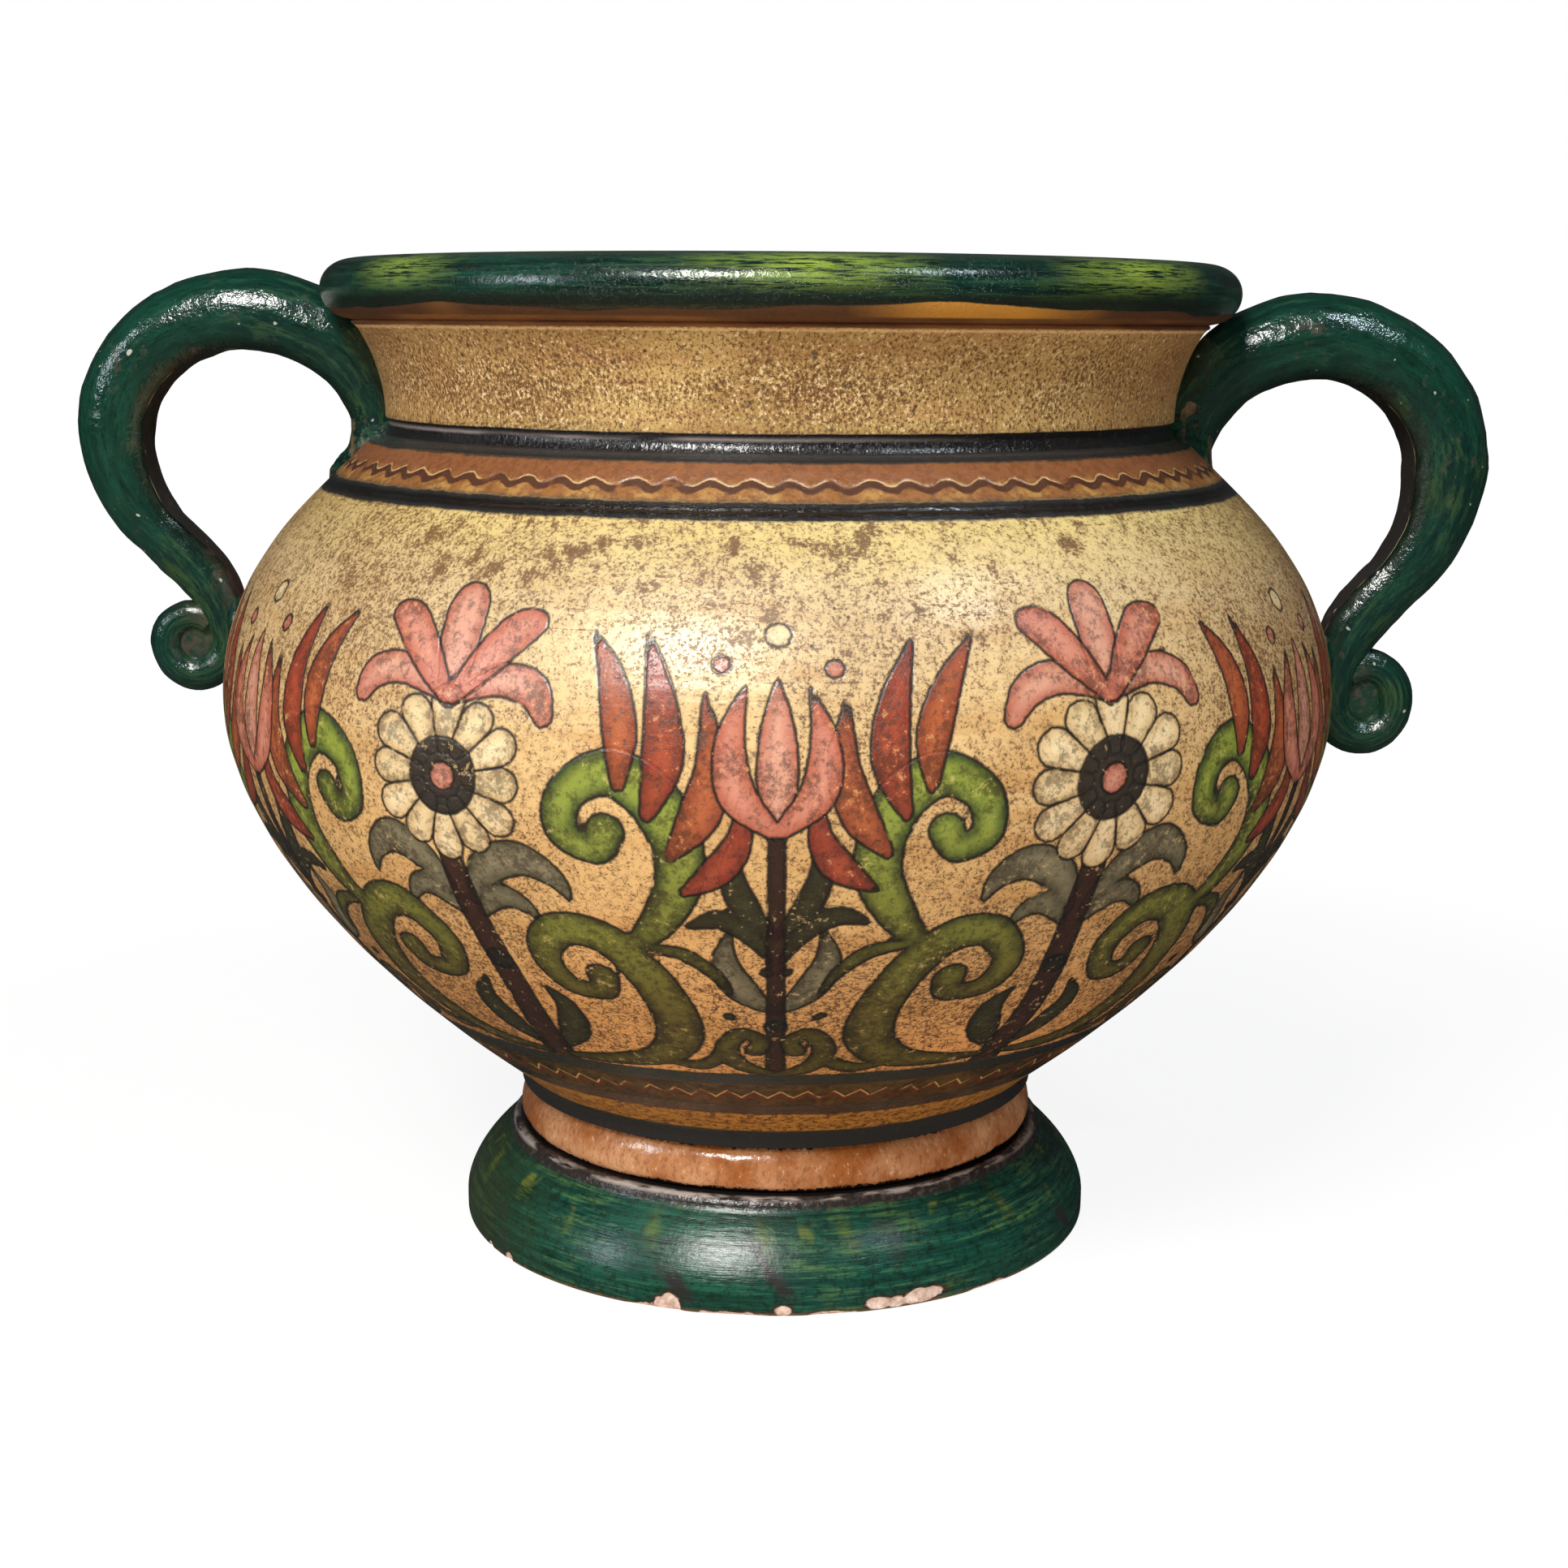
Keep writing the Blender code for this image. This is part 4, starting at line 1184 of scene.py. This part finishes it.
def climbing_path(sizes, last, count, below=0):
    """From the shoulder, or some millimetres below it, up along the neck: points, radii and flats."""
    centre, half = loop_of(sizes)
    first = root_angle(sizes) + below / sizes["loop_rise"]
    path = []
    for index, point in enumerate(arc(centre, half, sizes["loop_rise"], first, last, count)):
        angle = mix(first, last, index / count)
        share = (first - angle) / (first - math.pi / 2)
        ease = share * share * (3 - 2 * share)
        path.append((point, mix(sizes["root_coil"], sizes["crown_coil"], ease) / 2, COIL_FLAT * ease))
    return path


def falling_path(sizes):
    """From the loop's crown out, down and in towards the belly."""
    centre, half = loop_of(sizes)
    out = arc(centre, half, sizes["loop_rise"], math.pi / 2, 0, 22)
    last = -math.atan(sizes["loop_fall"] * math.tan(RUN_TURN) / half)
    down = arc(centre, half, sizes["loop_fall"], 0, last, 14)
    path = []
    for line, first, end in ((out, "crown_coil", "side_coil"), (down, "side_coil", "run_coil")):
        for index, point in enumerate(line[1:]):
            share = (index + 1) / (len(line) - 1)
            path.append((point, mix(sizes[first], sizes[end], share) / 2, COIL_FLAT))
    return path


def belly_radius_at(height):
    """The belly's outer radius at a height, both in millimetres."""
    return float(outside_radius(height * MM)) / MM


def scroll_eye(sizes):
    height = BELLY_HEIGHT / MM + sizes["scroll_lift"]
    seat = belly_radius_at(height) + sizes["scroll_coil"] / 2 - SEAT_PRESS
    return Vector((seat + sizes["scroll_radius"] * sizes["scroll_width"], height))


def scroll_path(sizes, run):
    """The coil bending from the run onto the belly, then turning back on itself."""
    leave = Vector(run[-1][0])
    eye = scroll_eye(sizes)
    arrive = eye - Vector((sizes["scroll_radius"] * sizes["scroll_width"], 0))
    reach = (leave - arrive).length * 0.42
    heading = (leave - Vector(run[-2][0])).normalized()
    bezier = (leave, leave + heading * reach, arrive + Vector((0, reach)), arrive)
    path = []
    count = 22
    for step in range(1, count + 1):
        share = step / count
        rest = 1 - share
        weights = (rest**3, 3 * share * rest**2, 3 * share**2 * rest, share**3)
        point = sum((corner * weight for corner, weight in zip(bezier, weights)), Vector((0, 0)))
        path.append((point, mix(sizes["run_coil"], sizes["scroll_coil"], share**2) / 2, COIL_FLAT * rest))
    count = 44
    for step in range(1, count + 1):
        share = step / count
        angle = math.pi + SCROLL_TURN * share
        radius = mix(sizes["scroll_radius"], sizes["tip_radius"], share**1.7)
        point = eye + radius * Vector((sizes["scroll_width"] * math.cos(angle), math.sin(angle)))
        path.append((point, mix(sizes["scroll_coil"], sizes["tip_coil"], share) / 2, 0))
    return path


def coil(path, side, extra=lambda share: 0):
    """A coil of clay rolled along a path: round, with a flat towards the loop's opening, and round ends."""
    shape = bmesh.new()
    run_layer, turn_layer, seam_layer, eye_layer = (
        shape.verts.layers.float.new(name) for name in ("run", "turn", "seam", "eye"))
    loops = []
    last = len(path) - 1
    run = 0
    for index, (point, radius, flat) in enumerate(path):
        before = Vector(path[max(index - 1, 0)][0])
        after = Vector(path[min(index + 1, last)][0])
        along = (after - before).normalized()
        opening = Vector((along.y, -along.x))
        run += (Vector(point) - before).length
        radius = radius + extra(index / last)
        ring = bmesh.ops.create_circle(shape, segments=COIL_SIDES, radius=radius)["verts"]
        flat_half = math.acos(max(-1, min(1, (radius - flat) / radius)))
        for vert in ring:
            vert[eye_layer] = max(0, index / last - SCROLL_EYE) * 12
            angle = math.atan2(vert.co.y, vert.co.x)
            vert[run_layer] = run
            vert[turn_layer] = angle
            vert[seam_layer] = (abs(angle) - flat_half) * radius
            inward = min(vert.co.x, radius - flat)
            place = Vector(point) + opening * inward
            vert.co = Vector((side * place.x, vert.co.y, place.y)) * MM
        loops.append(ring)
    for first, second in zip(loops, loops[1:]):
        edges = {
            edge for ring in (first, second) for vert in ring for edge in vert.link_edges
            if edge.other_vert(vert) in ring}
        bmesh.ops.bridge_loops(shape, edges=list(edges))
    for ring in (loops[0], loops[-1]):
        rim = [edge for edge in shape.edges if edge.is_boundary and edge.verts[0] in ring]
        cap = bmesh.ops.contextual_create(shape, geom=rim)["faces"]
        bmesh.ops.poke(shape, faces=cap)
    bmesh.ops.recalc_face_normals(shape, faces=shape.faces)
    return shape


def press(shape, smeared=False):
    """Keep what is buried in the vessel within its wall: no vertex goes deeper than a few millimetres.

    Smeared clay also thins out to nothing over the ledge, down to the shoulder.
    """
    line = np.array(vessel_outside())
    places = np.array([vert.co for vert in shape.verts])
    across = from_axis(places)
    flat = np.column_stack((across, places[:, 2]))
    best = np.full(len(flat), np.inf)
    nearest_point = np.zeros_like(flat)
    inward = np.zeros_like(flat)
    for start, end in zip(line, line[1:]):
        along = end - start
        length = np.hypot(*along)
        if length < 1e-9:
            continue
        share = np.clip((flat - start) @ along / length**2, 0, 1)
        foot = start + share[:, None] * along
        gap = np.hypot(*(flat - foot).T)
        closer = gap < best
        best[closer] = gap[closer]
        nearest_point[closer] = foot[closer]
        inward[closer] = np.array((-along[1], along[0])) / length
    depth = np.einsum("ij,ij->i", flat - nearest_point, inward)
    wanted = np.minimum(depth, BURIED)
    if smeared:
        rise = (nearest_point[:, 1] - SHOULDER[1]) / MM
        proud = np.interp(rise, SMEAR_RISES, SMEAR_DEPTHS)
        run_layer = shape.verts.layers.float["run"]
        proud = np.minimum(proud, np.array([vert[run_layer] for vert in shape.verts]) * 0.7 - 1)
        wanted = np.maximum(wanted, -proud * MM)
    target = nearest_point + inward * wanted[:, None]
    shape.verts.ensure_lookup_table()
    for index in np.nonzero(wanted != depth)[0]:
        vert = shape.verts[int(index)]
        share = target[index, 0] / across[index]
        vert.co = Vector((vert.co.x * share, vert.co.y * share, target[index, 1]))


def knead(shape, amount, size):
    """Leave the unevenness of fingers on soft clay: lumps of that amount and size, in millimetres."""
    shape.normal_update()
    for vert in shape.verts:
        lump = noise.noise(vert.co / (size * MM)) + 0.5 * noise.noise(vert.co / (size * 0.4 * MM))
        vert.co += vert.normal * (lump * amount * MM)


def eye_button(shape, sizes):
    """The flattened clay in the scroll's eye."""
    eye = scroll_eye(sizes)
    across = sizes["scroll_radius"] * BUTTON_SHARE
    thick = sizes["tip_coil"] / 2 - BUTTON_SINK
    made = bmesh.ops.create_uvsphere(shape, u_segments=32, v_segments=20, radius=1)["verts"]
    bmesh.ops.scale(shape, verts=made, vec=(across * sizes["scroll_width"], thick, across))
    bmesh.ops.scale(shape, verts=made, vec=(MM, MM, MM))
    bmesh.ops.translate(shape, verts=made, vec=Vector((sizes["side"] * eye.x, 0, eye.y)) * MM)
    eye_layer, seam_layer = (shape.verts.layers.float[name] for name in ("eye", "seam"))
    for vert in made:
        vert[seam_layer] = 10
        vert[eye_layer] = 1
        away = (vert.co - Vector((sizes["side"] * eye.x * MM, 0, eye.y * MM))).length / (across * MM)
        vert.co.y *= 0.55 + 0.45 * away


# Chips along the foot: turn and half-width in degrees, then half-height and lift in millimetres
CHIPS = (
    (-53.7, 1.0, 2.4, 0), (-61, 0.7, 1.6, 0), (-22, 4, 1.2, 0), (-17.6, 2.1, 5.2, 0), (-19.2, 1.4, 3, 1),
    (-7, 5.8, 1.1, 0), (1.4, 1.6, 1.7, 1.6), (10, 4.8, 1.3, 0), (17.8, 2.4, 1.7, 2.3),
    (21.5, 3.6, 1.4, 2), (26, 4.2, 1.9, 3), (40, 5, 1.2, 0), (118, 2, 4, 0), (124, 5, 1.4, 0),
    (196, 4, 2.4, 0), (201, 1.6, 4.4, 0), (262, 3, 2.6, 0))
CHIP_DEPTH = 0.5
NO_CHIP = 20
CHIPS_TOP = 20
CHIPPED_EDGE = 9 * MM
MM_PER_DEGREE = 1.6

# Insides in millimetres: heights, and the radii between which the clay is bare there
FOOT_INSIDE = ((0, 29), (80.2, 63.5))
FOOT_INSIDE_TOP = 33
NECK_INSIDE = ((237, 263.5), (107.5, 112.5))
NECK_INSIDE_TOP = 262
NECK_INSIDE_WIDEST = 112.2


def chips(places):
    """How far each place lies outside the nearest chip, negative within it."""
    angle = np.degrees(np.arctan2(places[:, 0], -places[:, 1]))
    height = places[:, 2] / MM
    nearest_chip = np.full(len(places), float(NO_CHIP))
    for middle, half, tall, lift in CHIPS:
        away = (angle - middle + 180) % 360 - 180
        gap = (np.hypot(away / half, (height - lift) / tall) - 1) * min(half * MM_PER_DEGREE, tall)
        nearest_chip = np.minimum(nearest_chip, gap)
    outer = from_axis(places) > FOOT_RADIUS - CHIPPED_EDGE
    return np.where(outer & (height < CHIPS_TOP), nearest_chip, NO_CHIP)


# Operators

def colours_of(context):
    return context.scene.vase_colours


class VASE_OT_foot(bpy.types.Operator):
    """Throw the flared foot and chip its standing edge"""
    bl_idname = "vase.foot"
    bl_label = "Foot"

    def execute(self, context):
        shoulder = (FOOT_SHOULDER, FOOT_TOP - FOOT_ROUND)
        flare = power_curve((FOOT_RADIUS, FOOT_EDGE), shoulder, FOOT_FULLNESS, 16)
        rounding = arc((FOOT_SHOULDER - FOOT_ROUND, shoulder[1]), FOOT_ROUND, FOOT_ROUND, 0, math.pi / 2, 6)
        hollow = power_curve((FOOT_RADIUS - FOOT_STANDING, 0), (FOOT_BORE, FOOT_HOLLOW), FOOT_FULLNESS, 8)
        profile = arc((FOOT_RADIUS - FOOT_LIP, FOOT_LIP), FOOT_LIP, FOOT_LIP, -math.pi / 2, 0, 4)
        profile += even([(FOOT_RADIUS, FOOT_LIP), (FOOT_RADIUS, FOOT_EDGE)], FOOT_LIP)[1:]
        profile += flare[1:] + rounding[1:]
        profile += [(SPIGOT_RADIUS, FOOT_TOP), (SPIGOT_RADIUS, BOWL_UNDERSIDE), (FOOT_BORE, BOWL_UNDERSIDE)]
        profile += hollow[::-1]
        shape = spun(profile, TURNS)
        piece = finish_piece("turned_foot", shape, foot_look(colours_of(context)), "foot")
        places = coordinates(piece.data)
        across = from_axis(places)
        height = places[:, 2] / MM
        chip = chips(places)
        hold(piece.data, "chip", chip)
        bore = np.interp(height, *FOOT_INSIDE) * MM
        hold(piece.data, "inside", (across < bore) & (height < FOOT_INSIDE_TOP))
        shape_by_hand(piece)
        places = coordinates(piece.data)
        dent = np.clip(-chip, 0, CHIP_DEPTH) * MM / from_axis(places)
        places[:, :2] *= (1 - dent)[:, None]
        piece.data.vertices.foreach_set("co", places.ravel())
        return {"FINISHED"}


class VASE_OT_waist_ring(bpy.types.Operator):
    """Lay the coil round the joint of foot and bowl"""
    bl_idname = "vase.waist_ring"
    bl_label = "Waist ring"

    def execute(self, context):
        low, high = (corner.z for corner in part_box("waist_ring"))
        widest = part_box("waist_ring")[1].x
        belt = low + RING_BELT
        rise = high - low - RING_BELT
        profile = [(SPIGOT_RADIUS + GAP, low)]
        profile += arc((widest - RING_LOW_ROUND, belt), RING_LOW_ROUND, RING_BELT, -math.pi / 2, 0, 12)
        profile += arc((widest - RING_HIGH_ROUND, belt), RING_HIGH_ROUND, rise, 0, math.pi / 2, 18)[1:]
        profile.append((SPIGOT_RADIUS + GAP, high))
        shape = spun(profile, PLAIN_TURNS)
        knead(shape, 0.25, 11)
        look = ring_look(colours_of(context))
        finish_piece("rolled_waist_ring", shape, look, "waist_ring")
        return {"FINISHED"}


class VASE_OT_bowl(bpy.types.Operator):
    """Throw the belly and paint its frieze and bands"""
    bl_idname = "vase.bowl"
    bl_label = "Bowl"

    def execute(self, context):
        outside = bowl_outside(FRIEZE_STEP)
        inside = offset(bowl_outside(11 * MM)[6:-4], WALL)
        joint = outside[-1][1]
        profile = [(0, TENON_FOOT), (TENON_RADIUS, TENON_FOOT), (TENON_RADIUS, BOWL_UNDERSIDE)]
        profile += [(WAIST_RADIUS, BOWL_UNDERSIDE)] + outside
        profile += lap(joint) + [(MOUTH_BORE, joint)] + inside[::-1]
        profile += [(inside[0][0] - FLOOR_CORNER, FLOOR_HEIGHT), (0, FLOOR_HEIGHT)]
        shape = spun(profile, TURNS)
        look = bowl_look(colours_of(context))
        piece = finish_piece("thrown_bowl", shape, look, "bowl")
        draw_frieze(piece.data)
        shape_by_hand(piece)
        return {"FINISHED"}


class VASE_OT_collar(bpy.types.Operator):
    """Throw the neck and roll its rim"""
    bl_idname = "vase.collar"
    bl_label = "Collar"

    def execute(self, context):
        outside = collar_outside()
        inside = offset(power_curve(NECK, NECK_TOP, NECK_FULLNESS, 8)[1:], WALL)
        profile = lap(outside[0][1])[::-1] + outside + rim_outside(math.pi, 44) + inside[::-1]
        shape = spun(profile, PLAIN_TURNS)
        look = collar_look(colours_of(context))
        piece = finish_piece("thrown_collar", shape, look, "collar")
        places = coordinates(piece.data) / MM
        across = from_axis(places)
        height = places[:, 2]
        neck = (across < NECK_INSIDE_WIDEST) & (height < NECK_INSIDE_TOP)
        hold(piece.data, "inside", neck & (across < np.interp(height, *NECK_INSIDE)))
        shape_by_hand(piece)
        return {"FINISHED"}


class VASE_OT_handles(bpy.types.Operator):
    """Roll the two coils, bend them into loops and end each in a scroll"""
    bl_idname = "vase.handles"
    bl_label = "Handles"

    def execute(self, context):
        look = coil_look(colours_of(context))
        for which, sizes in HANDLES.items():
            path = climbing_path(sizes, math.pi / 2, 40)
            path += falling_path(sizes)
            path += scroll_path(sizes, path)
            shape = coil(path, sizes["side"])
            knead(shape, 0.3, 14)
            eye_button(shape, sizes)
            knead(shape, 0.3, 7)
            press(shape)
            finish_piece("rolled_handle_" + which, shape, look, "handle_" + which)
        return {"FINISHED"}


def upper_smear(sizes):
    """Soft clay drawn up along the coil's root, thick where it starts."""
    last = root_angle(sizes) - SMEAR_LENGTH / sizes["loop_rise"]
    path = climbing_path(sizes, last, 44, below=SMEAR_START)
    shape = coil(path, sizes["side"], lambda share: mix(-0.6, sizes["root_flare"], (1 - share) ** 2.2))
    knead(shape, 0.5, 8)
    press(shape, smeared=True)
    return shape


def lower_smear(sizes):
    """The wad of clay behind the scroll."""
    shape = bmesh.new()
    made = bmesh.ops.create_uvsphere(shape, u_segments=40, v_segments=26, radius=1)["verts"]
    size = Vector((PAD_THICKNESS, sizes["run_coil"] / 2 + PAD_MARGIN, PAD_HEIGHT)) * MM
    bmesh.ops.scale(shape, verts=made, vec=size)
    height = BELLY_HEIGHT / MM + sizes["scroll_lift"] + sizes["pad_lift"]
    place = Vector((sizes["side"] * belly_radius_at(height), 0, height)) * MM
    bmesh.ops.translate(shape, verts=made, vec=place)
    knead(shape, 0.5, 7)
    press(shape)
    return shape


class VASE_OT_luting(bpy.types.Operator):
    """Smear soft clay round the handles' roots"""
    bl_idname = "vase.luting"
    bl_label = "Luting clay"

    def execute(self, context):
        look = luting_look(colours_of(context))
        for which, sizes in HANDLES.items():
            for part, smear in (("_upper", upper_smear), ("_lower", lower_smear)):
                root = which + part
                finish_piece("smear_" + root, smear(sizes), look, "lute_" + root)
        return {"FINISHED"}


def lamp(name, power, turn, rise, size, colour, mirrored):
    """A lamp that faces the vase."""
    data = bpy.data.lights.new(name, "AREA")
    data.shape = "RECTANGLE"
    data.size, data.size_y = size
    data.energy = power
    data.color = colour
    light = bpy.data.objects.new(name, data)
    light.visible_glossy = mirrored
    bpy.context.scene.collection.objects.link(light)
    turn, rise = math.radians(turn), math.radians(rise)
    back = Vector((math.sin(turn) * math.cos(rise), -math.cos(turn) * math.cos(rise), math.sin(rise)))
    light.location = Vector((0, 0, AIM_HEIGHT)) + back * LAMP_DISTANCE
    light.rotation_euler = back.to_track_quat("Z", "Y").to_euler()


def lay_floor():
    """A pale floor that the camera sees white, and dark in the varnish."""
    shape = bmesh.new()
    bmesh.ops.create_grid(shape, x_segments=1, y_segments=1, size=FLOOR_SIZE)
    mesh = bpy.data.meshes.new("floor")
    shape.to_mesh(mesh)
    shape.free()
    floor = bpy.data.objects.new("floor", mesh)
    bpy.context.scene.collection.objects.link(floor)
    look = Look("pale_floor")
    seen = look.node("ShaderNodeLightPath", output="Is Camera Ray")
    mirrored = look.node("ShaderNodeLightPath", output="Is Glossy Ray")
    far = (look.x * look.x + look.y * look.y).ramp(FLOOR_FADE[0]**2, FLOOR_FADE[1]**2)
    near = look.mix(far, (0.16, 0.16, 0.16), (0, 0, 0))
    glow = look.mix(far, (0.89, 0.89, 0.89), (1.02, 1.02, 1.02))
    lit = look.mix(mirrored, (0.96, 0.77, 0.62), (0.07, 0.08, 0.08))
    look.set(Base_Color=look.mix(seen, lit, near), Roughness=0.9, Specular_IOR_Level=0)
    look.set(Emission_Color=look.mix(seen, (0, 0, 0), glow), Emission_Strength=1)
    mesh.materials.append(look.material)


def light_sky(strength):
    """White where the camera sees it, and otherwise an even light that the varnish mirrors weakly."""
    world = bpy.data.worlds.new("studio")
    bpy.context.scene.world = world
    world.use_nodes = True
    sky = Nodes(world.node_tree)
    seen = sky.node("ShaderNodeLightPath", output="Is Camera Ray")
    mirrored = sky.node("ShaderNodeLightPath", output="Is Glossy Ray")
    background = sky.tree.nodes["Background"].inputs
    sky.feed(background["Color"], (1, 1, 1))
    sky.feed(background["Strength"], seen + (1 - seen) * (1 - mirrored * 0.75) * strength)


class VASE_OT_stage(bpy.types.Operator):
    """Set the pale floor, the soft lamps and the camera at the photograph's angle"""
    bl_idname = "vase.stage"
    bl_label = "Stage"

    def execute(self, context):
        studio = context.scene.vase_studio
        lay_floor()
        light_sky(studio.sky)
        for name, placing in LAMPS.items():
            lamp(name, getattr(studio, name + "_power"), *placing)
        data = bpy.data.cameras.new("camera")
        data.lens = studio.lens
        data.sensor_width = SENSOR_WIDTH
        data.shift_x = PHOTO_SHIFT / PHOTO_WIDTH
        camera = bpy.data.objects.new("camera", data)
        context.scene.collection.objects.link(camera)
        camera.location = (0, -studio.distance, studio.height)
        tilt = Euler((math.pi / 2 - studio.pitch, 0, 0)).to_matrix()
        camera.rotation_euler = (tilt @ Matrix.Rotation(studio.roll, 3, "Z")).to_euler()
        context.scene.camera = camera
        context.scene.view_settings.view_transform = "Standard"
        return {"FINISHED"}


OPERATORS = (
    VASE_OT_foot, VASE_OT_waist_ring, VASE_OT_bowl, VASE_OT_collar, VASE_OT_handles, VASE_OT_luting,
    VASE_OT_stage,
)


class VASE_PT_panel(bpy.types.Panel):
    """The vase's steps, in the order they are made"""
    bl_idname = "VASE_PT_panel"
    bl_label = "Painted terracotta vase"
    bl_space_type = "VIEW_3D"
    bl_region_type = "UI"
    bl_category = "Vase"

    def draw(self, context):
        for operator in OPERATORS:
            self.layout.operator(operator.bl_idname)
        for group in (context.scene.vase_colours, context.scene.vase_studio):
            for name in group.__annotations__:
                self.layout.prop(group, name)


CLASSES = (VesselColours, StudioSettings, *OPERATORS, VASE_PT_panel)


def register():
    for kind in CLASSES:
        bpy.utils.register_class(kind)
    bpy.types.Scene.vase_colours = PointerProperty(type=VesselColours)
    bpy.types.Scene.vase_studio = PointerProperty(type=StudioSettings)


def unregister():
    del bpy.types.Scene.vase_studio
    del bpy.types.Scene.vase_colours
    for kind in reversed(CLASSES):
        bpy.utils.unregister_class(kind)


def main():
    register()
    bpy.ops.vase.foot()
    bpy.ops.vase.waist_ring()
    bpy.ops.vase.bowl()
    bpy.ops.vase.collar()
    bpy.ops.vase.handles()
    bpy.ops.vase.luting()
    bpy.ops.vase.stage()


if __name__ == "__main__":
    main()
